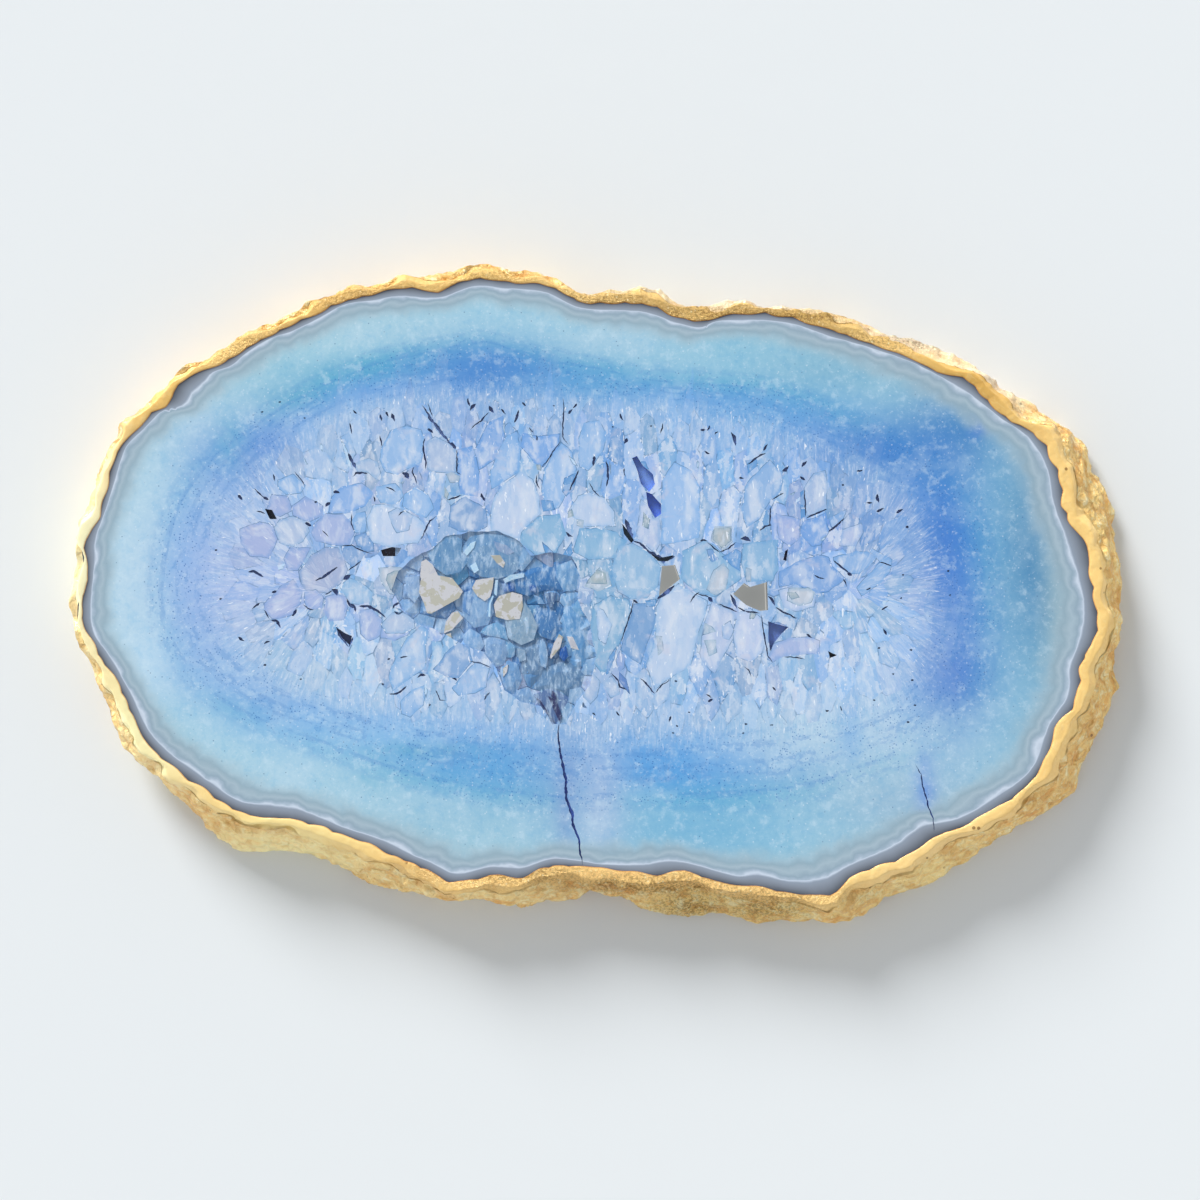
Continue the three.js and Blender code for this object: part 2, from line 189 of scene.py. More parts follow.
# The crystals that read one by one in the cut face: tone, outline.
CRYSTALS = [
    ("white", [(367, 518), (374, 504), (387, 505), (402, 508), (419, 518), (427, 529), (419, 543),
        (404, 544), (391, 547), (372, 543), (368, 529)]),
    ("lilac", [(314, 524), (326, 513), (344, 514), (354, 526), (355, 534), (349, 545), (333, 546),
        (316, 541), (311, 533)]),
    ("pearl", [(273, 529), (280, 519), (293, 516), (306, 521), (310, 531), (303, 542), (293, 547),
        (280, 543)]),
    ("smoke", [(299, 572), (313, 554), (326, 547), (339, 547), (343, 559), (349, 569), (341, 584),
        (328, 593), (306, 591), (301, 582)]),
    ("lilac", [(263, 604), (280, 587), (293, 579), (303, 592), (301, 602), (293, 615), (273, 620),
        (266, 612)]),
    ("lilac", [(304, 592), (316, 589), (324, 596), (323, 609), (308, 610), (304, 602)]),
    ("lilac", [(325, 596), (336, 593), (346, 597), (348, 607), (344, 620), (329, 622), (324, 612)]),
    ("glass", [(339, 587), (349, 578), (362, 582), (373, 592), (371, 602), (359, 605), (349, 603)]),
    ("steel", [(341, 546), (356, 546), (367, 552), (359, 564), (353, 568), (344, 561)]),
    ("sky", [(356, 513), (366, 511), (368, 524), (366, 532), (355, 533), (352, 521)]),
    ("steel", [(354, 536), (366, 532), (374, 543), (374, 552), (367, 552), (356, 546)]),
    ("sky", [(381, 450), (391, 430), (407, 425), (422, 430), (425, 438), (421, 463), (407, 470),
        (397, 475), (386, 473), (379, 460)]),
    ("pearl", [(427, 441), (435, 436), (449, 443), (456, 450), (456, 473), (445, 473), (427, 471),
        (426, 455)]),
    ("pearl", [(354, 463), (369, 458), (378, 463), (381, 473), (377, 480), (367, 473), (357, 473)]),
    ("blue", [(331, 496), (343, 486), (362, 483), (374, 493), (366, 506), (346, 514), (328, 513)]),
    ("sky", [(376, 486), (396, 483), (404, 496), (397, 504), (381, 504), (376, 496)]),
    ("sky", [(404, 494), (416, 486), (429, 494), (434, 509), (427, 518), (415, 514), (402, 506)]),
    ("sky", [(278, 480), (293, 473), (306, 485), (301, 494), (286, 495), (278, 488)]),
    ("lilac", [(291, 506), (306, 496), (323, 506), (323, 516), (309, 523), (293, 516)]),
    ("lilac", [(271, 494), (289, 496), (293, 511), (280, 517), (266, 511)]),
    ("lilac", [(240, 529), (260, 521), (273, 524), (278, 539), (270, 559), (250, 556), (240, 543)]),
    ("lilac", [(290, 547), (312, 548), (306, 559), (299, 571), (288, 571), (283, 559)]),
    ("white", [(495, 494), (508, 481), (521, 471), (533, 479), (539, 496), (541, 514), (526, 527),
        (519, 540), (506, 536), (491, 532), (490, 512)]),
    ("sky", [(562, 441), (573, 453), (577, 469), (571, 484), (559, 509), (546, 509), (541, 489),
        (544, 468), (556, 449)]),
    ("white", [(578, 496), (589, 492), (606, 498), (614, 512), (616, 527), (599, 526), (584, 527),
        (576, 519), (567, 512)]),
    ("cyan", [(521, 532), (539, 516), (559, 514), (567, 534), (556, 553), (536, 556), (520, 543)]),
    ("cyan", [(579, 529), (599, 527), (616, 532), (627, 541), (616, 559), (589, 560), (573, 551)]),
    ("blush", [(641, 498), (651, 508), (653, 518), (660, 518), (660, 544), (655, 553), (641, 542),
        (636, 534)]),
    ("sky", [(662, 479), (675, 461), (692, 471), (700, 488), (700, 537), (680, 542), (661, 545),
        (661, 516)]),
    ("sky", [(584, 423), (599, 420), (607, 433), (604, 451), (589, 471), (579, 467), (578, 438)]),
    ("blue", [(538, 436), (561, 433), (559, 446), (543, 467), (533, 462), (520, 446), (523, 433)]),
    ("blue", [(488, 423), (503, 416), (505, 436), (501, 456), (490, 463), (477, 472), (473, 453)]),
    ("sky", [(505, 436), (518, 430), (521, 453), (519, 471), (503, 483), (491, 489), (490, 471)]),
    ("blue", [(458, 449), (473, 446), (480, 472), (478, 496), (460, 494), (457, 473)]),
    ("steel", [(450, 506), (466, 496), (486, 509), (488, 526), (477, 532), (460, 532), (448, 526)]),
    ("cream", [(714, 526), (731, 526), (733, 542), (723, 552), (711, 541)]),
    ("sky", [(746, 483), (769, 460), (783, 473), (781, 494), (771, 499), (760, 519), (746, 529),
        (741, 506)]),
    ("pearl", [(804, 489), (813, 473), (826, 470), (828, 486), (826, 509), (806, 517)]),
    ("lilac", [(776, 513), (801, 519), (799, 539), (790, 547), (778, 539)]),
    ("blue", [(803, 521), (826, 513), (828, 526), (829, 531), (821, 546), (811, 546), (799, 534)]),
    ("sky", [(829, 518), (847, 508), (844, 519), (831, 529)]),
    ("sky", [(833, 557), (856, 551), (867, 551), (877, 559), (859, 574), (849, 574), (836, 566)]),
    ("blue", [(778, 572), (796, 562), (818, 554), (829, 557), (833, 566), (846, 579), (829, 592),
        (816, 594), (796, 584), (779, 588)]),
    ("blush", [(778, 590), (796, 585), (816, 595), (814, 607), (796, 612), (783, 607)]),
    ("sky", [(880, 562), (868, 551), (872, 548), (892, 559), (890, 572), (879, 585), (861, 597),
        (856, 587)]),
    ("blush", [(842, 529), (861, 523), (864, 533), (856, 546), (839, 546)]),
    ("cyan", [(743, 543), (778, 540), (778, 570), (773, 581), (746, 582), (741, 562)]),
    ("cyan", [(682, 551), (705, 539), (723, 553), (741, 560), (741, 579), (728, 589), (715, 597),
        (697, 593), (681, 579)]),
    ("glass", [(611, 569), (618, 546), (634, 543), (650, 552), (661, 567), (658, 586), (647, 598),
        (630, 599), (617, 592)]),
    ("white", [(661, 596), (678, 583), (696, 594), (708, 601), (705, 616), (696, 638), (692, 665),
        (666, 681), (655, 690), (646, 665), (655, 638), (656, 607)]),
    ("blush", [(712, 601), (721, 606), (736, 613), (734, 638), (725, 654), (715, 674), (702, 661),
        (699, 653), (703, 625)]),
    ("blush", [(738, 612), (750, 608), (762, 618), (765, 638), (763, 653), (751, 662), (735, 656),
        (733, 634)]),
    ("cyan", [(594, 604), (611, 595), (630, 600), (632, 610), (624, 635), (611, 661), (603, 676),
        (592, 661), (589, 630)]),
    ("steel", [(634, 604), (655, 601), (656, 622), (647, 645), (641, 665), (632, 659), (620, 650),
        (629, 622)]),
    ("lilac", [(767, 659), (773, 644), (787, 638), (809, 636), (820, 641), (820, 654), (784, 656),
        (773, 663)]),
    ("pearl", [(583, 684), (591, 668), (600, 681), (598, 697), (591, 705), (583, 697)]),
    ("pearl", [(603, 684), (611, 675), (618, 684), (620, 694), (611, 699)]),
    ("sky", [(392, 664), (407, 638), (421, 626), (427, 630), (426, 668), (412, 677), (392, 691),
        (389, 676)]),
    ("lilac", [(383, 622), (395, 613), (410, 612), (417, 622), (407, 636), (394, 641), (380, 638)]),
    ("steel", [(433, 670), (446, 653), (459, 640), (470, 647), (473, 661), (458, 679), (446, 676)]),
    ("sky", [(452, 688), (459, 679), (475, 662), (490, 668), (487, 687), (476, 693), (459, 696)]),
    ("sky", [(400, 702), (410, 691), (427, 684), (424, 705), (410, 717), (401, 714)]),
    ("lilac", [(360, 610), (372, 609), (383, 619), (381, 636), (369, 641), (360, 634)]),
    ("cream", [(584, 586), (599, 567), (608, 572), (612, 586), (597, 592)]),
    ("cream", [(378, 568), (390, 566), (402, 567), (410, 573), (409, 590), (402, 595), (390, 594),
        (382, 584)]),
    ("beige", [(386, 580), (388, 574), (395, 571), (404, 570), (407, 576), (406, 584), (401, 591),
        (391, 590)]),
    ("beige", [(714, 528), (730, 527), (732, 541), (722, 549), (713, 540)]),
    ("cream", [(445, 474), (452, 472), (460, 476), (459, 482), (450, 483)]),
    ("beige", [(444, 486), (449, 494), (448, 500), (444, 496)]),
    ("beige", [(536, 464), (541, 464), (541, 471), (537, 470)]),
    ("beige", [(567, 512), (572, 508), (574, 516), (568, 518)]),
    ("cream", [(577, 519), (584, 520), (583, 529), (577, 526)]),
    ("cream", [(713, 570), (724, 563), (729, 570), (726, 590), (716, 595), (706, 590)]),
    ("cream", [(746, 568), (752, 569), (751, 582), (745, 580)]),
    ("beige", [(643, 512), (650, 520), (648, 530), (642, 526)]),
    ("cream", [(788, 588), (808, 587), (815, 593), (811, 603), (799, 606), (786, 601)]),
    ("beige", [(786, 592), (796, 592), (800, 597), (791, 600)]),
    ("beige", [(586, 584), (597, 569), (606, 573), (607, 584)]),
    ("cream", [(705, 622), (712, 626), (716, 632), (702, 636)]),
    ("cream", [(704, 640), (716, 640), (717, 652), (709, 657)]),
    ("blush", [(722, 626), (730, 620), (735, 630), (730, 640), (722, 638)]),
    ("beige", [(750, 611), (757, 614), (754, 619), (749, 618)]),
    ("cream", [(656, 636), (662, 636), (664, 650), (658, 655)]),
    ("white", [(596, 606), (604, 610), (612, 625), (606, 645), (599, 640), (596, 622)]),
    ("lilac", [(615, 660), (619, 651), (625, 655), (625, 668), (619, 673)]),
    ("azure", [(605, 676), (609, 656), (617, 645), (614, 660), (608, 674)]),
    ("indigo", [(619, 672), (627, 679), (631, 694), (624, 688), (619, 680)]),
    ("indigo", [(768, 622), (779, 622), (789, 627), (781, 633), (774, 637), (770, 650), (768, 636)]),
    ("azure", [(645, 600), (656, 599), (656, 607), (646, 607)]),
    ("azure", [(745, 461), (757, 458), (757, 466), (748, 474)]),
    ("azure", [(800, 492), (804, 490), (806, 516), (801, 519)]),
    ("steel", [(706, 550), (712, 549), (720, 559), (712, 562)]),
    ("azure", [(722, 556), (736, 549), (742, 552), (740, 572), (732, 566)]),
    ("steel", [(779, 553), (783, 552), (787, 560), (780, 567)]),
    ("azure", [(541, 500), (553, 501), (556, 510), (543, 512)]),
    ("azure", [(541, 541), (560, 558), (572, 541), (574, 552), (562, 566), (548, 562)]),
    ("azure", [(638, 462), (645, 461), (650, 471), (652, 480), (650, 491), (645, 491), (640, 480)]),
    ("azure", [(564, 478), (578, 472), (574, 490), (566, 497), (562, 492)]),
    ("pearl", [(388, 512), (398, 507), (414, 515), (410, 530), (396, 534)]),
    ("pearl", [(381, 624), (392, 612), (404, 612), (415, 620), (416, 628), (402, 634), (386, 634)]),
    ("glint", [(340, 436), (345, 445), (351, 459), (353, 470), (349, 466), (344, 452)]),
    ("glint", [(302, 457), (305, 459), (308, 465), (305, 464)]),
    ("glint", [(321, 443), (324, 446), (323, 452), (321, 449)]),
    ("glint", [(354, 463), (358, 465), (356, 468)]),
    ("glint", [(504, 415), (505, 424), (505, 434), (503, 428)]),
    ("glint", [(609, 461), (611, 466), (610, 476), (609, 470)]),
    ("glint", [(821, 539), (826, 535), (825, 540), (821, 542)]),
    ("glint", [(796, 500), (800, 497), (799, 501), (795, 503)]),
    ("glint", [(788, 494), (795, 491), (793, 495)]),
    ("glint", [(527, 426), (532, 433), (534, 440), (529, 434)]),
    ("glint", [(882, 602), (890, 600), (884, 605)]),
    ("glint", [(568, 455), (575, 459), (578, 466), (573, 464)]),
    ("glint", [(426, 682), (428, 690), (426, 698), (424, 692)]),
    ("glint", [(278, 565), (285, 564), (284, 569), (279, 570)]),
    ("glint", [(696, 459), (699, 462), (699, 470), (697, 467)]),
    ("glint", [(268, 651), (272, 650), (271, 655), (268, 655)]),
    ("glint", [(398, 482), (405, 481), (403, 484)]),
]
TONES = {
    "white": (200, 213, 234), "pearl": (184, 198, 222), "lilac": (168, 179, 220),
    "smoke": (166, 175, 205), "glass": (160, 193, 221), "sky": (156, 190, 230), "blue": (132, 172, 227),
    "cyan": (138, 182, 213), "steel": (120, 158, 205), "cream": (205, 206, 208),
    "blush": (198, 206, 230), "beige": (190, 188, 174), "azure": (96, 154, 208),
    "indigo": (92, 122, 190), "glint": (238, 244, 252),
}

# Thin open slits between crystals: width in picture points, line.
SLITS = [
    (3.2, [(422, 405), (427, 412), (432, 421), (438, 428), (444, 436), (452, 446)]),
    (1.2, [(428, 403), (430, 410), (433, 418)]), (3.6, [(427, 429), (430, 430), (433, 433)]),
    (2.2, [(425, 438), (423, 446), (424, 454), (426, 461), (426, 470)]),
    (2.0, [(414, 467), (412, 472), (415, 478), (417, 484)]),
    (5.0, [(402, 473), (406, 474), (409, 479)]),
    (2.4, [(353, 477), (356, 473), (362, 473), (368, 474)]),
    (4.0, [(348, 453), (351, 459), (356, 468)]), (1.8, [(350, 423), (351, 429), (352, 434)]),
    (1.6, [(380, 435), (381, 441), (382, 447)]), (2.2, [(353, 410), (355, 412), (357, 414)]),
    (2.0, [(380, 414), (381, 417), (382, 421)]), (2.8, [(386, 412), (387, 414), (389, 417)]),
    (3.6, [(392, 413), (393, 417), (395, 422)]), (2.2, [(273, 474), (274, 477), (275, 481)]),
    (1.2, [(294, 471), (301, 479), (306, 488)]), (1.4, [(254, 488), (260, 494), (265, 498)]),
    (3.6, [(263, 497), (266, 498), (269, 500)]), (3.4, [(238, 495), (240, 497), (243, 500)]),
    (1.6, [(256, 511), (261, 512), (266, 514)]), (3.2, [(305, 523), (308, 524), (312, 526)]),
    (3.8, [(326, 507), (328, 504), (330, 502)]), (3.4, [(333, 492), (336, 492), (340, 493)]),
    (1.2, [(322, 530), (325, 533), (329, 537)]), (1.8, [(398, 516), (401, 513), (405, 511)]),
    (1.6, [(374, 496), (375, 499), (375, 502)]), (1.4, [(352, 513), (351, 522), (354, 531)]),
    (1.4, [(386, 487), (391, 489), (396, 492)]),
    (1.6, [(421, 540), (425, 531), (430, 521), (437, 516)]),
    (3.4, [(248, 572), (254, 571), (259, 574), (264, 577)]),
    (3.4, [(272, 593), (274, 592), (277, 591)]), (2.6, [(252, 609), (256, 606), (260, 603)]),
    (1.4, [(264, 610), (267, 614), (270, 620)]), (3.4, [(271, 620), (277, 621), (281, 628)]),
    (3.0, [(292, 616), (294, 614), (297, 609)]), (3.4, [(238, 637), (241, 639), (245, 641)]),
    (2.2, [(264, 644), (267, 642), (270, 641)]),
    (3.0, [(315, 581), (322, 578), (329, 573), (338, 567)]),
    (4.6, [(343, 580), (347, 577), (351, 575)]), (5.0, [(332, 589), (336, 591), (337, 596)]),
    (4.6, [(347, 599), (350, 605), (355, 607), (356, 612)]),
    (3.2, [(359, 606), (368, 606), (378, 611), (386, 618)]),
    (2.4, [(393, 609), (394, 605), (399, 603), (405, 604)]),
    (2.2, [(394, 611), (399, 614), (404, 611)]),
    (2.6, [(413, 617), (418, 622), (424, 621), (431, 624), (439, 630)]),
    (4.4, [(437, 628), (440, 631), (443, 635)]),
    (2.6, [(337, 627), (339, 635), (345, 642), (349, 647)]),
    (2.2, [(349, 647), (351, 643), (353, 637)]), (1.4, [(325, 595), (329, 593), (333, 590)]),
    (2.6, [(389, 694), (395, 694), (400, 692), (407, 686)]),
    (1.8, [(400, 658), (403, 657), (408, 656)]), (2.4, [(417, 678), (421, 675), (426, 675)]),
    (1.6, [(347, 571), (355, 566), (362, 560)]),
    (1.4, [(341, 546), (352, 545), (360, 550), (373, 554)]),
    (1.2, [(303, 604), (308, 608), (314, 610)]), (1.8, [(440, 431), (446, 438), (453, 446)]),
    (4.8, [(450, 443), (453, 445), (456, 449)]),
    (1.8, [(457, 449), (457, 462), (457, 472), (461, 475)]),
    (1.8, [(447, 500), (455, 498), (462, 495)]), (3.4, [(481, 493), (482, 496), (485, 501)]),
    (2.6, [(468, 398), (468, 402), (470, 406)]), (5.0, [(470, 411), (472, 407), (476, 404)]),
    (4.4, [(489, 406), (491, 409), (494, 413)]),
    (1.6, [(489, 412), (481, 421), (475, 425), (470, 430)]),
    (1.8, [(501, 409), (503, 411), (506, 415)]), (3.0, [(514, 423), (517, 418), (519, 410)]),
    (2.2, [(522, 402), (524, 404), (526, 406)]), (2.2, [(536, 435), (537, 438), (537, 441)]),
    (1.4, [(529, 427), (531, 430), (533, 433)]),
    (1.5, [(563, 398), (564, 410), (563, 424), (563, 437), (569, 446)]),
    (1.3, [(561, 441), (553, 452), (547, 461), (541, 469)]),
    (3.0, [(568, 414), (570, 412), (573, 409)]), (2.6, [(573, 408), (575, 406), (577, 404)]),
    (2.2, [(579, 470), (575, 479), (569, 491)]), (1.6, [(537, 474), (536, 482), (540, 489)]),
    (4.0, [(594, 456), (594, 460), (593, 466)]),
    (2.8, [(606, 460), (608, 469), (608, 479), (606, 487)]),
    (1.3, [(589, 482), (593, 490), (600, 497)]), (2.2, [(620, 413), (621, 417), (624, 421)]),
    (3.8, [(624, 444), (626, 441), (627, 438)]), (1.6, [(624, 468), (624, 472), (625, 477)]),
    (5.6, [(625, 519), (629, 529), (632, 543)]),
    (2.2, [(631, 540), (640, 543), (648, 551), (656, 557)]),
    (2.4, [(566, 532), (569, 536), (573, 537)]),
    (5.4, [(648, 551), (656, 556), (664, 561), (675, 556)]),
    (1.6, [(663, 423), (662, 428), (660, 434)]), (2.4, [(700, 430), (703, 430), (706, 430)]),
    (2.4, [(707, 431), (709, 428), (710, 425)]), (1.8, [(715, 435), (716, 433), (718, 431)]),
    (3.2, [(731, 432), (734, 437), (736, 446)]), (2.2, [(704, 451), (707, 453), (710, 454)]),
    (2.6, [(763, 451), (765, 448), (768, 444)]),
    (2.0, [(747, 465), (755, 459), (760, 455), (766, 453)]),
    (4.4, [(782, 471), (785, 470), (789, 466)]), (2.8, [(802, 467), (804, 464), (807, 461)]),
    (2.8, [(800, 476), (802, 478), (805, 480)]), (1.4, [(772, 500), (778, 496), (784, 493)]),
    (1.5, [(804, 489), (805, 500), (806, 518)]), (2.2, [(806, 518), (815, 514), (827, 509)]),
    (2.6, [(739, 478), (741, 478), (744, 478)]), (3.0, [(828, 532), (836, 526), (844, 518)]),
    (2.0, [(833, 560), (840, 566), (850, 574)]), (3.6, [(847, 573), (849, 574), (852, 575)]),
    (1.6, [(814, 575), (819, 578), (825, 579)]), (1.4, [(843, 579), (845, 582), (847, 587)]),
    (4.8, [(740, 539), (745, 538), (751, 541)]), (2.4, [(759, 531), (765, 526), (772, 525)]),
    (1.6, [(771, 507), (770, 516), (770, 526)]), (2.2, [(700, 541), (703, 540), (707, 541)]),
    (1.6, [(706, 542), (713, 547), (720, 553)]), (1.8, [(719, 552), (728, 549), (736, 542)]),
    (4.4, [(657, 599), (666, 593), (675, 585)]), (4.6, [(708, 597), (710, 599), (713, 602)]),
    (3.2, [(730, 594), (733, 599), (737, 609)]), (3.0, [(768, 596), (772, 600), (775, 606)]),
    (1.6, [(634, 600), (631, 611), (627, 624), (621, 642)]),
    (2.6, [(633, 600), (635, 601), (638, 603)]), (1.6, [(690, 603), (695, 595), (700, 592)]),
    (1.6, [(718, 604), (726, 607), (738, 612)]), (1.4, [(697, 594), (706, 596), (712, 599)]),
    (2.2, [(775, 607), (783, 612), (790, 615), (797, 619)]),
    (1.8, [(736, 606), (744, 611), (760, 613)]),
    (1.6, [(761, 614), (765, 640), (768, 656), (773, 663)]),
    (1.4, [(783, 657), (792, 657), (805, 659)]), (2.0, [(806, 634), (809, 636), (812, 638)]),
    (2.2, [(611, 673), (618, 680), (620, 687), (627, 690)]),
    (1.8, [(640, 678), (646, 683), (650, 688), (655, 694)]),
    (1.3, [(655, 693), (663, 684), (670, 680)]), (3.2, [(586, 670), (588, 668), (591, 667)]),
    (2.6, [(583, 702), (584, 706), (587, 708)]), (3.0, [(708, 702), (710, 701), (713, 699)]),
    (1.6, [(706, 694), (709, 696), (712, 698)]), (1.2, [(743, 666), (749, 670), (751, 677)]),
    (2.4, [(669, 722), (670, 719), (671, 716)]), (1.6, [(772, 687), (774, 689), (776, 691)]),
    (2.2, [(616, 711), (618, 714), (620, 716)]), (2.0, [(592, 713), (594, 714), (596, 716)]),
    (2.6, [(883, 629), (885, 632), (886, 635)]), (2.4, [(881, 610), (884, 608), (888, 606)]),
    (1.6, [(879, 562), (884, 563), (892, 566)]), (1.8, [(866, 590), (868, 589), (871, 588)]),
    (2.0, [(840, 706), (841, 708), (842, 711)]), (2.2, [(825, 710), (827, 711), (829, 710)]),
    (3.0, [(877, 494), (877, 498), (879, 503)]), (2.0, [(866, 503), (869, 503), (872, 503)]),
    (2.6, [(876, 512), (880, 510), (884, 508)]), (2.6, [(896, 513), (899, 511), (903, 509)]),
    (1.8, [(856, 471), (860, 471), (863, 470)]), (2.4, [(484, 700), (487, 695), (490, 692)]),
    (1.6, [(468, 661), (480, 663), (492, 668)]), (2.0, [(452, 678), (455, 679), (457, 681)]),
    (1.6, [(436, 690), (440, 700), (446, 701)]),
]
# Small dark dots on the face: where, and how wide in picture points.
DOTS = [
    (305, 418, 2), (280, 402, 2.4), (262, 412, 2.4), (316, 502, 2.4), (389, 659, 2.4), (383, 684, 2),
    (265, 665, 2.6), (301, 679, 2), (216, 550, 2.4), (221, 599, 2.4), (554, 406, 2), (613, 427, 1.8),
    (651, 426, 2), (843, 485, 2), (676, 681, 2.4), (689, 712, 2), (677, 726, 2), (673, 733, 2),
    (746, 724, 2.4), (743, 733, 2), (772, 725, 2), (879, 648, 2.4), (893, 674, 2.2), (911, 650, 2.4),
    (912, 680, 2.4), (901, 598, 2), (903, 575, 2), (948, 571, 2.4), (874, 700, 2), (915, 705, 2.4),
    (908, 722, 2.4), (771, 725, 2), (950, 595, 2), (907, 527, 3), (430, 705, 2),
]

# Colours across the stone by band: 0 the cut edge, 1 the white line, 2 the teal line, 3 the crystals.
BANDS = [
    (1.0, (168, 196, 216)), (1.2, (160, 201, 217)), (1.45, (164, 206, 223)), (1.75, (154, 200, 222)),
    (1.92, (114, 182, 212)), (2.05, (90, 166, 209)), (2.25, (98, 163, 216)), (2.5, (114, 166, 223)),
    (2.75, (138, 180, 227)), (3.0, (158, 189, 226)), (3.6, (160, 188, 228)), (4.0, (150, 186, 221)),
]
# Washes of colour over the bands: middle, half sizes, colour, strength.
WASHES = [
    ((130, 580), (50, 120), (188, 216, 234), 0.85), ((200, 420), (70, 40), (184, 214, 230), 0.8),
    ((400, 325), (120, 20), (172, 206, 224), 0.6), ((500, 315), (70, 20), (152, 198, 224), 0.5),
    ((700, 345), (120, 22), (132, 187, 215), 0.6), ((620, 336), (50, 18), (178, 208, 228), 0.6),
    ((840, 372), (70, 24), (118, 172, 202), 0.7), ((960, 425), (50, 36), (82, 144, 182), 0.9),
    ((1030, 560), (34, 130), (78, 138, 182), 0.95), ((1000, 700), (50, 60), (122, 178, 210), 0.6),
    ((992, 560), (16, 110), (108, 168, 206), 0.6), ((900, 800), (80, 40), (150, 182, 208), 0.8),
    ((700, 830), (110, 34), (108, 174, 212), 0.8), ((440, 820), (110, 30), (150, 190, 214), 0.6),
    ((290, 780), (90, 34), (178, 210, 229), 0.7), ((258, 455), (50, 30), (52, 128, 212), 0.95),
    ((490, 372), (60, 22), (66, 130, 204), 0.9), ((600, 384), (70, 16), (100, 166, 212), 0.75),
    ((760, 412), (80, 18), (98, 164, 216), 0.7), ((880, 450), (70, 28), (48, 122, 200), 0.9),
    ((945, 560), (30, 110), (56, 120, 204), 0.9), ((950, 670), (30, 50), (32, 110, 200), 0.95),
    ((186, 565), (22, 66), (140, 184, 230), 0.8), ((222, 668), (46, 30), (136, 182, 230), 0.85),
    ((300, 722), (60, 18), (134, 184, 230), 0.75), ((380, 740), (60, 18), (150, 196, 232), 0.75),
    ((490, 766), (70, 22), (98, 166, 218), 0.8), ((665, 762), (72, 24), (74, 156, 222), 0.9),
    ((840, 735), (100, 38), (182, 210, 228), 0.9), ((575, 790), (40, 60), (146, 180, 214), 0.6),
    ((250, 580), (64, 70), (172, 186, 228), 0.75), ((340, 470), (90, 40), (168, 194, 222), 0.6),
    ((480, 440), (70, 34), (112, 160, 216), 0.8), ((700, 450), (110, 34), (134, 178, 226), 0.7),
    ((850, 540), (60, 60), (98, 144, 206), 0.85), ((566, 790), (9, 60), (116, 146, 202), 0.55),
    ((600, 800), (20, 60), (176, 194, 226), 0.6), ((925, 795), (8, 34), (100, 142, 218), 0.7),
    ((1064, 610), (12, 110), (140, 168, 180), 0.8), ((981, 420), (6, 14), (60, 110, 208), 0.7),
    ((850, 640), (80, 46), (178, 204, 234), 0.8), ((650, 650), (60, 50), (134, 176, 216), 0.6),
    ((340, 660), (90, 34), (176, 204, 224), 0.7), ((560, 560), (60, 60), (128, 170, 210), 0.5),
    ((850, 730), (10, 24), (110, 168, 222), 0.6), ((375, 780), (40, 8), (112, 180, 208), 0.4),
    ((420, 750), (50, 6), (84, 164, 196), 0.5), ((350, 370), (60, 10), (84, 166, 202), 0.6),
    ((230, 440), (14, 24), (100, 176, 206), 0.5), ((150, 660), (16, 30), (196, 222, 240), 0.6),
    ((290, 395), (40, 12), (84, 162, 200), 0.5),
]


def linear(rgb):
    """The scene's colour for a picture colour from 0 to 255, by the sRGB curve."""
    c = np.asarray(rgb, float) / 255
    return np.where(c <= 0.04045, c / 12.92, ((c + 0.055) / 1.055) ** 2.4)


def paint(*rgb):
    """The same as fixed numbers for a material."""
    return tuple(linear(rgb))


def wobble(points, size, amount, layer=0.0):
    """The points moved about by smooth noise of a size and an amount in millimetres."""
    shift = [noise.noise_vector((x / size, y / size, layer)) for x, y in points]
    return points + np.array(shift)[:, :2] * amount


def subdivide(polygon, step):
    """The polygon with a point at least every step."""
    out = []
    for start, end in zip(polygon, np.roll(polygon, -1, 0)):
        count = max(1, round(math.dist(start, end) / step))
        out += [start + (end - start) * i / count for i in range(count)]
    return np.array(out)


def area(polygon):
    """The area of a polygon, below zero where it runs clockwise."""
    x, y = polygon.T
    return 0.5 * float(np.sum(x * np.roll(y, -1) - np.roll(x, -1) * y))


def inside(points, polygon):
    """Which points lie inside a polygon."""
    x, y = points[:, 0], points[:, 1]
    hit = np.zeros(len(points), bool)
    for (x0, y0), (x1, y1) in zip(polygon, np.roll(polygon, -1, 0)):
        if y0 == y1:
            continue
        hit ^= ((y0 > y) != (y1 > y)) & (x < (x1 - x0) * (y - y0) / (y1 - y0) + x0)
    return hit


# The directions round the slice in which its edge is known, and the coarser steps used for loose points.
STATIONS = 1440
ANGLES = np.linspace(-math.pi, math.pi, STATIONS, endpoint=False)
EVERY_SECOND, EVERY_SIXTH = slice(None, None, 2), slice(None, None, 6)
# How far the white line stays inside the cut edge, and the core's share of the crystals' start.
LINE_MARGIN = 0.8
CORE_SHARE = 0.1


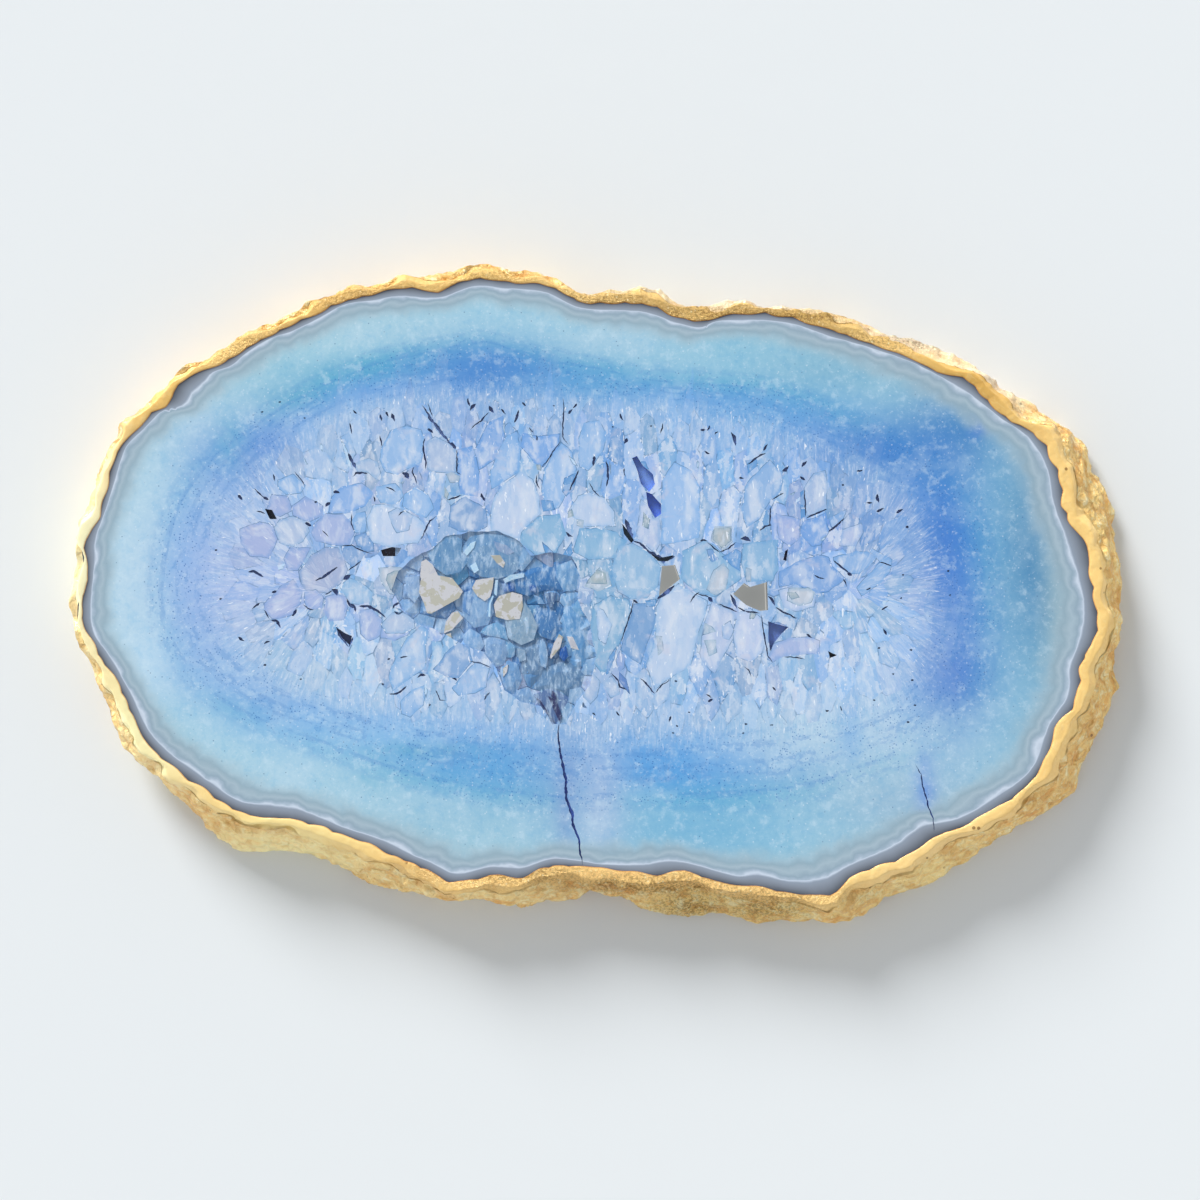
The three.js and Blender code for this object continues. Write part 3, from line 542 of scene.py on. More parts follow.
class Bands:
    """Where each nested curve lies in every direction, and what that says of a point."""

    def __init__(self, cut):
        loops = [smooth_loop(place(line)) for line in (WHITE_LINE, TEAL_LINE, CRYSTAL_START)]
        radii = [cut] + [reach(loop, ANGLES) for loop in loops]
        radii[1] = np.minimum(radii[1], cut - LINE_MARGIN)
        self.radii = np.array(radii + [radii[3] * CORE_SHARE])

    def at(self, points):
        """The band of each point: 0 at the cut edge and then one more from each curve to the next."""
        angle, radius = polar(points)
        knots = [around(angle, ANGLES, row) for row in self.radii]
        band = np.zeros(len(points))
        for outer, inner in zip(knots, knots[1:]):
            band += np.clip((outer - radius) / (outer - inner), 0, 1)
        outside = (knots[0] - radius) / (knots[0] - knots[1])
        return np.where(radius > knots[0], outside, band)

    def ring(self, level):
        """A ring of points along one band."""
        lower = int(level)
        radius = self.radii[lower] + (self.radii[lower + 1] - self.radii[lower]) * (level - lower)
        return ring_points(ANGLES, radius)[EVERY_SECOND]


MIDDLE = place(MIDDLE_LINE)
# Crystals are round up to this distance from the middle line, and beyond it drawn out by this much.
ROUND_REACH = 10.0
STRETCH = 0.42


def from_middle(points):
    """The nearest point of the middle line, and the way and distance out from it."""
    start, run = MIDDLE[0], MIDDLE[1] - MIDDLE[0]
    share = np.clip((points - start) @ run / (run @ run), 0, 1)
    base = start + share[:, None] * run
    out = points - base
    distance = np.maximum(np.hypot(*out.T), 1e-6)
    return base, out / distance[:, None], distance


def squeeze(points):
    """The map in which crystals that grow inwards are as wide as they are long."""
    base, out, distance = from_middle(points)
    short = np.where(distance < ROUND_REACH, distance, ROUND_REACH + (distance - ROUND_REACH) * STRETCH)
    return base + out * short[:, None]


def stretch(points):
    """The way back from that map."""
    base, out, distance = from_middle(points)
    long = np.where(distance < ROUND_REACH, distance, ROUND_REACH + (distance - ROUND_REACH) / STRETCH)
    return base + out * long[:, None]


def clip(polygon, point, normal):
    """The part of a convex polygon behind the line through a point, as its normal sees it."""
    side = (polygon - point) @ normal
    out = []
    for i, here in enumerate(side):
        j = (i + 1) % len(polygon)
        if here <= 0:
            out.append(polygon[i])
        if (here < 0) != (side[j] < 0) and here != side[j]:
            out.append(polygon[i] + (polygon[j] - polygon[i]) * here / (here - side[j]))
    return np.array(out)


# The corners of a square, from which each small crystal is cut.
SQUARE = np.array([(-1, -1), (1, -1), (1, 1), (-1, 1)])


def grown_cell(seed, seeds, start, neighbours):
    """The room a seed has among its neighbours, cut from a square that reaches start to each side."""
    cell = seed + SQUARE * start
    for j in np.argsort(np.hypot(*(seeds - seed).T))[1:neighbours + 1]:
        cell = clip(cell, (seeds[j] + seed) / 2, seeds[j] - seed)
    return cell


# Where the small crystals grow: their zone, the band of the first seeds and of the first kept cells.
CELL_ZONE = [(190, 760), (960, 370)]
FIRST_SEED_BAND, FIRST_CELL_BAND = 2.62, 2.72
SEED_TRIES = 26000
# The distance between seeds by band, and how much more it is along the middle line.
GAP_BANDS, GAPS = (2.62, 3.0, 3.5), (1.5, 2.3, 3.8)
MIDDLE_GAP = 0.6


def crystal_cells(bands, random):
    """Outlines of the smaller crystals that fill the crystal zone, grown round scattered seeds."""
    low, high = place(CELL_ZONE)
    tries = random.uniform(low, high, (SEED_TRIES, 2))
    depth = bands.at(tries)
    tries, depth = tries[depth > FIRST_SEED_BAND], depth[depth > FIRST_SEED_BAND]
    squeezed = squeeze(tries)
    distance = from_middle(tries)[2]
    gaps = np.interp(depth, GAP_BANDS, GAPS) + MIDDLE_GAP * (distance < ROUND_REACH)
    seeds, spacing = np.zeros((len(tries), 2)), np.zeros(len(tries))
    count = 0
    for seed, gap in zip(squeezed, gaps):
        if not count or np.min(np.hypot(*(seeds[:count] - seed).T)) > gap:
            seeds[count], spacing[count] = seed, gap
            count += 1
    seeds, spacing = seeds[:count], spacing[:count]
    cells = [grown_cell(seed, seeds, gap * 2.2, 19) for seed, gap in zip(seeds, spacing)]
    cells = [stretch(subdivide(cell, 0.5)) for cell in cells]
    kept = bands.at(stretch(seeds)) > FIRST_CELL_BAND
    return [cell for cell, keep in zip(cells, kept) if keep], stretch(seeds)[kept]


def dot(x, y, size):
    """A small uneven blot round a picture point."""
    ways = np.radians(np.arange(0, 360, 60))
    shape = np.column_stack((np.cos(ways) * 0.6, np.sin(ways) * 0.4)) * size
    return wobble(place(shape + (x, y)), 0.5, 0.15)


def ribbon(line, width):
    """The outline of a crack along a line of picture points: it wanders, and narrows to both ends."""
    corners = place(line)
    points = [corners[0]]
    for start, end in zip(corners, corners[1:]):
        count = max(2, round(math.dist(start, end) / 0.5))
        points += [start + (end - start) * i / count for i in range(1, count + 1)]
    points = wobble(np.array(points), 0.8, 0.16)
    along = points[2:] - points[:-2]
    across = np.column_stack((-along[:, 1], along[:, 0])) / np.hypot(*along.T)[:, None] * width / 2
    taper = np.sin(np.linspace(0, math.pi, len(points)))[1:-1] ** 0.6
    uneven = [0.7 + 0.6 * noise.noise((x / 0.7, y / 0.7, 2.0)) for x, y in points[1:-1]]
    across *= (taper * np.clip(uneven, 0.3, 1.2) * 1.2)[:, None]
    return np.vstack((points[:1], points[1:-1] + across, points[-1:], (points[1:-1] - across)[::-1]))


def make_object(name, vertices, faces, material):
    """A piece of the scene from corners in millimetres, on the part's only body."""
    mesh = bpy.data.meshes.new(name)
    mesh.from_pydata((np.asarray(vertices) * METRE).tolist(), [], [list(map(int, f)) for f in faces])
    mesh.validate()
    mesh.materials.append(material)
    made = bpy.data.objects.new(name, mesh)
    bpy.context.scene.collection.objects.link(made)
    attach(made, "root")
    return made


def store(mesh, name, kind, domain, values):
    """Values kept on the mesh for its material."""
    attribute = mesh.attributes.new(name, kind, domain)
    key = {"FLOAT": "value", "FLOAT_VECTOR": "vector", "FLOAT_COLOR": "color"}[kind]
    attribute.data.foreach_set(key, np.asarray(values, np.float32).ravel())


# How fast a wash fades out from its middle.
WASH_FALL = 0.7


def washed(points, colours, washes):
    """Colours at points, with each wash laid softly over them."""
    for middle, half, colour, strength in washes:
        away = (points - place([middle])[0]) / (np.array(half) * MM_PER_PIXEL)
        share = strength * np.exp(-WASH_FALL * np.sum(away ** 2, 1))[:, None]
        colours = colours * (1 - share) + linear(colour) * share
    return colours


def distance_to(polygon, points):
    """How far points lie from the outline of a polygon."""
    best = np.full(len(points), 1e9)
    for start, end in zip(polygon, np.roll(polygon, -1, 0)):
        run = end - start
        share = np.clip((points - start) @ run / max(run @ run, 1e-9), 0, 1)
        best = np.minimum(best, np.hypot(*(points - start - share[:, None] * run).T))
    return best


def rough_edge(outline, amount=0.3):
    """A traced outline with the small irregularities of a grown edge."""
    shape = subdivide(place(outline), 0.7)
    return wobble(wobble(shape, 2.6, amount), 0.9, amount * 0.4, 5.0)


HOLLOW_DEPTH = 10.2
# The underside lies a little above the ring of gilding that the slice rests on.
UNDERSIDE = 0.05
# How far the stone goes on under the gilding, outside the cut edge that is seen.
UNDER_LIP = 0.5
# The bands along which loose points are laid, so that the colours between them come out smooth.
LEVELS = (0.12, 0.25, 0.4, 0.55, 0.7, 0.85, 1.0, 1.08, 1.25, 1.5, 1.75, 1.95, 2.15, 2.35, 2.55)


def overlay(polygons, loose):
    """Triangles over flat outlines, each with the outlines it lies in, numbered as given."""
    polygons = [shape if area(shape) > 0 else shape[::-1] for shape in polygons]
    faces, start = [], 0
    for polygon in polygons:
        faces.append(list(range(start, start + len(polygon))))
        start += len(polygon)
    points = [Vector(p) for p in np.vstack(polygons + loose)]
    flat, _, triangles, _, _, owners = delaunay_2d_cdt(points, [], faces, 1, 1e-3)
    return np.array([(v.x, v.y) for v in flat]), np.array(triangles), owners


# How far inside a crystal's outline its first row of points lies, and the step of the scatter further in.
NEAR_ROW = 0.28
INNER_STEP = 1.0


def inner_points(shape):
    """Points inside a crystal's outline: one row just within it and a loose scatter further in."""
    if area(shape) < 0:
        shape = shape[::-1]
    along = np.roll(shape, -1, 0) - np.roll(shape, 1, 0)
    inward = np.column_stack((-along[:, 1], along[:, 0])) / np.maximum(np.hypot(*along.T), 1e-6)[:, None]
    row = shape + inward * NEAR_ROW
    low, high = shape.min(0), shape.max(0)
    across, up = np.meshgrid(*(np.arange(start, end, INNER_STEP) for start, end in zip(low, high)))
    scatter = np.column_stack((across.ravel(), up.ravel()))
    scatter = scatter[inside(scatter, shape)]
    row = row[(distance_to(shape, row) > NEAR_ROW * 0.8) & inside(row, shape)]
    return np.vstack((row, scatter[distance_to(shape, scatter) > NEAR_ROW * 2]))


def stone_layout(bands, cut, random):
    """Triangles of the polished face, with what each belongs to."""
    edge = ring_points(ANGLES, cut + UNDER_LIP)[EVERY_SECOND]
    cells, seeds = crystal_cells(bands, random)
    cells = [wobble(wobble(cell, 3.0, 0.35), 1.1, 0.16, 3.0) for cell in cells]
    named = [rough_edge(outline) for tone, outline in CRYSTALS]
    sunk = [(HOLLOW_DEPTH, None, rough_edge(HOLLOW))]
    sunk += [(THICKNESS, HOLE_WALL_TONE, place(hole)) for hole in THROUGH_HOLES]
    sunk += [(depth, tone, rough_edge(outline, 0.1)) for depth, tone, outline in PITS]
    sunk += [(depth, CRACK_TONE, ribbon(line, width)) for depth, width, line in CRACKS]
    sunk += [(SLIT_DEPTH, SLIT_TONE, ribbon(line, width * MM_PER_PIXEL)) for width, line in SLITS]
    sunk += [(SLIT_DEPTH, SLIT_TONE, dot(*spot)) for spot in DOTS]
    loose = [bands.ring(level) for level in LEVELS] + [inner_points(shape) for shape in cells + named]
    polygons = [edge] + cells + named + [shape for depth, tone, shape in sunk]
    flat, triangles, owners = overlay(polygons, loose)
    opening = np.full(len(triangles), -1)
    owner = np.full(len(triangles), -1)
    first_sunk = 1 + len(cells) + len(named)
    for i, found in enumerate(owners):
        open_here = (j - first_sunk for j in found if j >= first_sunk)
        opening[i] = max(open_here, key=lambda j: sunk[j][0], default=-1)
        owner[i] = max((j for j in found if j < first_sunk), default=0) - 1
    shapes = cells + named
    tones = [None] * len(cells) + [tone for tone, outline in CRYSTALS]
    middles = np.vstack([seeds] + [shape.mean(0)[None] for shape in named])
    openings = [(depth, tone) for depth, tone, shape in sunk] + [(0.0, None)]
    return flat, triangles, opening, openings, owner, shapes, tones, middles


def underside_layout(edge, shapes):
    """Triangles of the sawn underside: the same crystals, with only the through holes open."""
    holes = [place(hole) for hole in THROUGH_HOLES]
    ways = ANGLES[EVERY_SIXTH]
    loose = [ring_points(ways, reach(edge, ways) * share) for share in (0.95, 0.88, 0.8, 0.7)]
    flat, triangles, owners = overlay([edge] + shapes + holes, loose)
    owner = np.array([max(found) - 1 for found in owners])
    closed = owner < len(shapes)
    return flat, triangles[closed], owner[closed]


def cell_colour(tone, middle, ground, bands, random):
    """The colour of one crystal and how strongly it covers the ground colour."""
    depth = bands.at(middle[None])[0]
    lift = random.normal(0, 1)
    leaning = random.uniform()
    if tone:
        colour = linear(TONES[tone]) * (1 + 0.02 * lift)
        return np.append(colour * 0.7 + ground * 0.3, 0.95)
    targets = ("white", "lilac", "sky", "blue", "cyan", "pearl")
    target = linear(TONES[targets[int(leaning * len(targets))]])
    colour = (ground * 0.6 + target * 0.4) * (1 + 0.07 * lift)
    return np.append(colour, np.clip((depth - 2.85) / 0.4, 0.12, 1.0))


def edge_scale(points, cut, foot):
    """The face's points drawn in a little at the underside, where the foot is smaller."""
    angle, radius = polar(points)
    top = around(angle, ANGLES, cut + UNDER_LIP)
    low = around(angle, ANGLES, np.minimum(cut + UNDER_LIP, foot - 1.0))
    return points * (1 - (1 - low / top) * (radius / top) ** 6)[:, None]


def build_stone(material):
    """The slice: its face with every opening sunk into it, and the sawn underside."""
    random = np.random.default_rng(RANDOM_SEED)
    cut, lip, wide, waist, foot = stations_at(rim_stations(), ANGLES)
    bands = Bands(cut)
    flat, triangles, opening, openings, owner, shapes, tones, middles = stone_layout(bands, cut, random)
    drawn_in = edge_scale(flat, cut, foot)
    index, vertices, source = {}, [], []

    def corner(vertex, level):
        key = (vertex, level)
        if key not in index:
            index[key] = len(vertices)
            spot = drawn_in[vertex] if level == THICKNESS else flat[vertex]
            vertices.append((*spot, THICKNESS - level))
            source.append(flat[vertex])
        return index[key]

    faces, face_owner, face_shade = [], [], []

    def add(face, own, depth=0.0, tone=None):
        faces.append(face)
        face_owner.append(own)
        face_shade.append((*linear(tone), 0.5 if depth == THICKNESS else 1.0) if tone else (0, 0, 0, 0))

    neighbours = {}
    for t, (a, b, c) in enumerate(triangles):
        for pair in ((a, b), (b, c), (c, a)):
            neighbours[pair] = t
    for t, corners in enumerate(triangles):
        depth, tone = openings[opening[t]]
        if depth == THICKNESS:
            continue
        add([corner(v, depth) for v in corners], owner[t], depth, tone)
        for a, b in zip(corners, np.roll(corners, -1)):
            other = neighbours.get((b, a))
            beyond, inner_tone = (THICKNESS, None) if other is None else openings[opening[other]]
            if beyond > depth:
                quad = [corner(b, depth), corner(a, depth), corner(a, beyond), corner(b, beyond)]
                add(quad, owner[t], beyond, inner_tone)
    edge = ring_points(ANGLES, cut + UNDER_LIP)[EVERY_SECOND]
    low_flat, low_triangles, low_owner = underside_layout(edge, shapes)
    start = len(vertices)
    vertices += [(x, y, UNDERSIDE) for x, y in edge_scale(low_flat, cut, foot)]
    source += list(low_flat)
    for corners, own in zip(low_triangles, low_owner):
        add([start + v for v in corners[::-1]], own)
    stone = make_object("stone_slice", vertices, faces, material)
    paint_stone(stone.data, np.array(source), face_owner, face_shade, bands, shapes, tones, middles, random)
    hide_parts("agate_slice")
    return stone


# How far from a crystal's outline its edge is still told from its inside.
SEAM_REACH = 2.5


def ground_colour(points, band):
    """The stone's colour at points: by band, with the washes over it."""
    levels = [level for level, colour in BANDS]
    colours = np.array([linear(colour) for level, colour in BANDS])
    return washed(points, np.column_stack([np.interp(band, levels, part) for part in colours.T]), WASHES)


def paint_stone(mesh, spots, face_owner, face_shade, bands, shapes, tones, middles, random):
    """What the stone's look reads: ground, band and flow, and each crystal's tint, facet and seam."""
    band = bands.at(spots)
    ground = ground_colour(spots, band)
    store(mesh, "ground", "FLOAT_COLOR", "POINT", np.column_stack((ground, np.ones(len(spots)))))
    store(mesh, "band", "FLOAT", "POINT", band)
    base, out, distance = from_middle(spots)
    flow = np.column_stack((base + out * 30.0, distance))
    store(mesh, "flow", "FLOAT_VECTOR", "POINT", flow)
    sizes = np.array([p.loop_total for p in mesh.polygons])
    loops = np.array([loop.vertex_index for loop in mesh.loops])
    loop_owner = np.repeat(np.array(face_owner), sizes)
    tint = np.zeros((len(loops), 4))
    tint[:, :3] = ground[loops]
    facet = np.zeros((len(loops), 3))
    seam = np.ones(len(loops))
    order = np.argsort(loop_owner, kind="stable")
    bounds = np.searchsorted(loop_owner[order], np.arange(len(shapes) + 1))
    nearest = ground_colour(middles, bands.at(middles))
    for i, shape in enumerate(shapes):
        mine = order[bounds[i]:bounds[i + 1]]
        colour = cell_colour(tones[i], middles[i], nearest[i], bands, random)
        if not len(mine):
            continue
        where = spots[loops[mine]]
        tint[mine] = colour
        size = math.sqrt(max(abs(area(shape)), 0.1))
        _, ways, _ = from_middle(where)
        offset = (where - middles[i]) / size
        facet[mine, 0] = np.sum(offset * ways, 1)
        facet[mine, 1] = offset[:, 0] * -ways[:, 1] + offset[:, 1] * ways[:, 0]
        facet[mine, 2] = random.uniform() + (1.0 if tones[i] else 0.0)
        seam[mine] = np.clip(distance_to(shape, where) / SEAM_REACH, 0, 1)
    store(mesh, "tint", "FLOAT_COLOR", "CORNER", tint)
    store(mesh, "facet", "FLOAT_VECTOR", "CORNER", facet)
    store(mesh, "seam", "FLOAT", "CORNER", seam)
    store(mesh, "shade", "FLOAT_COLOR", "FACE", face_shade)


# Tones of the gilding on the lip and on the rough side: middle, half sizes, colour, strength. Besides the
# leaf's own tone they hold painted light: paler, near-white gold as painted reflection where the leaf would
# mirror a bright surround, and deeper gold as painted shade where it faces away from the light.
LIP_WASHES = [
    ((85, 560), (34, 120), (255, 250, 204), 1.0), ((140, 730), (60, 60), (255, 247, 190), 1.0),
    ((260, 842), (80, 30), (255, 236, 166), 0.95), ((160, 390), (60, 40), (236, 190, 104), 0.8),
    ((330, 305), (120, 30), (228, 182, 100), 0.8), ((500, 275), (80, 14), (232, 190, 110), 0.8),
    ((440, 868), (60, 20), (226, 186, 118), 0.7), ((560, 874), (80, 14), (250, 208, 132), 0.9),
    ((700, 888), (110, 20), (255, 214, 138), 0.95), ((925, 852), (90, 50), (252, 217, 146), 0.9),
    ((1095, 620), (34, 140), (255, 216, 136), 0.9), ((985, 378), (90, 40), (214, 168, 82), 0.9),
    ((800, 318), (110, 14), (200, 162, 88), 0.9), ((640, 304), (60, 10), (206, 168, 96), 0.9),
]
SIDE_WASHES = [
    ((1010, 372), (60, 30), (240, 222, 196), 0.95), ((920, 334), (70, 18), (242, 226, 202), 0.95),
    ((760, 302), (90, 10), (240, 226, 200), 0.9), ((650, 292), (60, 8), (238, 222, 190), 0.8),
    ((85, 560), (30, 90), (255, 240, 186), 1.0), ((120, 400), (60, 50), (240, 214, 160), 0.6),
    ((280, 856), (100, 26), (255, 240, 176), 1.0), ((150, 760), (50, 50), (255, 230, 166), 1.0),
    ((490, 885), (60, 18), (255, 232, 166), 0.95), ((690, 905), (50, 22), (255, 226, 150), 0.95),
    ((790, 905), (60, 20), (255, 226, 150), 0.95), ((950, 880), (90, 40), (255, 228, 154), 0.95),
    ((1105, 560), (34, 120), (255, 222, 142), 0.95), ((620, 880), (40, 12), (250, 210, 142), 0.8),
]
# Where the leaf lies over sandy rock and looks granular: middle, half sizes, strength.
SANDY_PLACES = [
    ((520, 874), (60, 9), 0.9), ((660, 884), (90, 10), 0.9), ((770, 896), (60, 8), 0.8),
    ((690, 908), (30, 12), 1.0), ((765, 910), (34, 10), 0.9), ((600, 298), (40, 8), 0.7),
    ((700, 316), (60, 8), 0.9), ((800, 316), (60, 7), 0.8), ((880, 342), (60, 7), 0.8),
    ((250, 345), (60, 14), 0.5), ((360, 296), (60, 10), 0.5), ((480, 276), (60, 8), 0.4),
]
GOLD = (253, 214, 136)
SIDE_ROWS = 34
# The share of the rows above the widest line.
WIDEST_AT = 0.6
# How far the side starts outside and below the lip.
SHOULDER_OUT, SHOULDER_DROP = 0.15, 0.9


def side_profile(lip, wide, waist, foot):
    """Radius and height down the rough side, from the lip over the widest line to the foot."""
    rows = []
    start, shoulder = lip + SHOULDER_OUT, LIP_TOP - SHOULDER_DROP
    for down in np.arange(SIDE_ROWS + 1) / SIDE_ROWS:
        if down < WIDEST_AT:
            a = down / WIDEST_AT
            rows.append((start + (wide - start) * a ** 0.9, shoulder - (shoulder - waist) * a ** 1.15))
        else:
            a = (down - WIDEST_AT) / (1 - WIDEST_AT)
            rows.append((wide + (foot - wide) * a ** 1.6, waist * (1 - a)))
    return rows


# The lip across its width: share of the width and height.
LIP_PROFILE = [
    (0.04, 13.04), (0.12, 13.17), (0.3, 13.23), (0.55, LIP_TOP), (0.8, LIP_TOP), (0.95, 13.2), (1.0, 13.0),
]
# How strongly the lip and the underside take part in the rumpling of the side.
LIP_RUMPLE, FOOT_RUMPLE = 0.25, 0.3
# Nothing of the gilding stands higher than this.
HIGHEST = 13.6


def edge_noise(radii, size, layer):
    """Smooth noise along the edge, round the slice."""
    return np.array([noise.noise((x / size, y / size, layer)) for x, y in ring_points(ANGLES, radii)])


def build_rim(material):
    """The gilded edge, in rows from the ring under the lip over the lip and down the side to the foot."""
    cut, lip, wide, waist, foot = stations_at(rim_stations(), ANGLES)
    inner = np.minimum(foot - 0.8, cut + UNDER_LIP) - 1.5
    cut = cut - 0.1 - 1.9 * abs(edge_noise(cut, 7, 4))
    wander = edge_noise(cut, 6, 8)
    lip = np.maximum(np.minimum(lip - 0.5 + 1.6 * wander, wide - 0.3), cut + 0.7)
    wide = np.maximum(wide, lip + 0.2)
    rows = [(inner, np.full(STATIONS, 0.06)), (cut + 0.05, np.full(STATIONS, 12.8))]
    width = lip - cut
    for share, height in LIP_PROFILE:
        rows.append((cut + 0.05 + (width - 0.05) * share, np.full(STATIONS, height)))
    first_side = len(rows)
    rows += side_profile(lip, wide, waist, foot)[1:]
    rows[-1] = (foot, np.zeros(STATIONS) + 0.02)
    rows += [(foot - 0.5, np.zeros(STATIONS)), ((foot + inner) / 2, np.zeros(STATIONS))]
    count = len(rows)
    vertices = np.array([np.column_stack((ring_points(ANGLES, r), z + 0 * r)) for r, z in rows])
    outward = np.column_stack((ring_points(ANGLES, 1.0), np.zeros(STATIONS)))
    steps = np.linalg.norm(np.diff(vertices, axis=0), axis=2)
    down = np.vstack((np.zeros((1, STATIONS)), np.cumsum(steps, 0)))
    down -= down[2]
    for j in range(2, count):
        share = np.clip((j - 2) / (first_side - 2), 0, 1) * LIP_RUMPLE if j < first_side else 1.0
        if j >= count - 3:
            share = FOOT_RUMPLE
        for i in range(STATIONS):
            vertices[j, i] += rumple(vertices[j, i], outward[i], down[j, i]) * share
    vertices[:, :, 2] = np.clip(vertices[:, :, 2], 0, HIGHEST)
    vertices[-2:, :, 2] = 0
    faces = []
    for j in range(count):
        k = (j + 1) % count
        for i in range(STATIONS):
            n = (i + 1) % STATIONS
            faces.append((j * STATIONS + i, j * STATIONS + n, k * STATIONS + n, k * STATIONS + i))
    rim = make_object("gilt_edge", vertices.reshape(-1, 3), faces, material)
    flat = vertices.reshape(-1, 3)
    gold = np.tile(linear(GOLD), (len(flat), 1))
    on_strip = np.zeros((count, STATIONS, 1))
    on_strip[2:first_side + 2] = 1
    on_strip = on_strip.reshape(-1, 1)
    # The gilding's colour, with the painted reflection and painted shade that the washes hold.
    on_lip, on_side = (washed(flat[:, :2], gold, washes) for washes in (LIP_WASHES, SIDE_WASHES))
    colours = on_side + (on_lip - on_side) * on_strip
    sandy = np.zeros(len(flat))
    for middle, half, strength in SANDY_PLACES:
        away = (flat[:, :2] - place([middle])[0]) / (np.array(half) * MM_PER_PIXEL)
        sandy = np.maximum(sandy, strength * np.exp(-0.5 * np.sum(away ** 2, 1)))
    store(rim.data, "ground", "FLOAT_COLOR", "POINT", np.column_stack((colours, sandy)))
    store(rim.data, "strip", "FLOAT", "POINT", on_strip)
    store(rim.data, "down", "FLOAT", "POINT", down)
    rim.data.shade_smooth()
    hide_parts("gilded_rim")
    return rim


def rumple(point, outward, down):
    """How far a point of the gilded side is pushed by the rock's lumps and the folds over them."""
    x, y, z = point
    lumps = noise.noise((x / 9, y / 9, z / 7)) * 0.9
    chunks = (0.5 - noise.voronoi((x / 4.2, y / 4.2, down / 3.4))[0][0]) * 1.1
    folds = (0.3 - abs(noise.noise((x / 9, y / 9, down / 2.6)))) * 1.9
    pleats = (0.25 - abs(noise.noise((x / 3.6, y / 3.6, down / 1.8 + 9)))) * 0.7
    grain = noise.noise((x / 1.2, y / 1.2, z / 1.2)) * 0.14
    lift = noise.noise((x / 4, y / 4, z / 4 + 20)) * 0.5
    up = np.array((0, 0, lift + chunks * 0.5 + pleats * 0.5))
    return outward * (lumps + chunks + folds + pleats + grain) + up


# Where the crystals in the hollow start, under the surface of the hollow's floor.
CRYSTAL_BASE = 2.6


def hexagon_crystal(base, axis, width, length):
    """Corners and faces of one quartz point: a six-sided prism with a six-sided pyramid."""
    axis = np.array(axis) / np.linalg.norm(axis)
    side = np.cross(axis, (0.3, 0.9, 0.1))
    side /= np.linalg.norm(side)
    other = np.cross(axis, side)
    corners = []
    for height, scale in ((0, 1.0), (length - width * 0.62, 0.94)):
        for i in range(6):
            way = math.radians(60 * i)
            out = (side * math.cos(way) + other * math.sin(way)) * width / 2 * scale
            corners.append(np.array(base) + axis * height + out)
    corners.append(np.array(base) + axis * length)
    faces = [(5, 4, 3, 2, 1, 0)]
    for i in range(6):
        n = (i + 1) % 6
        faces.append((i, n, n + 6, i + 6))
        faces.append((i + 6, n + 6, 12))
    return corners, faces


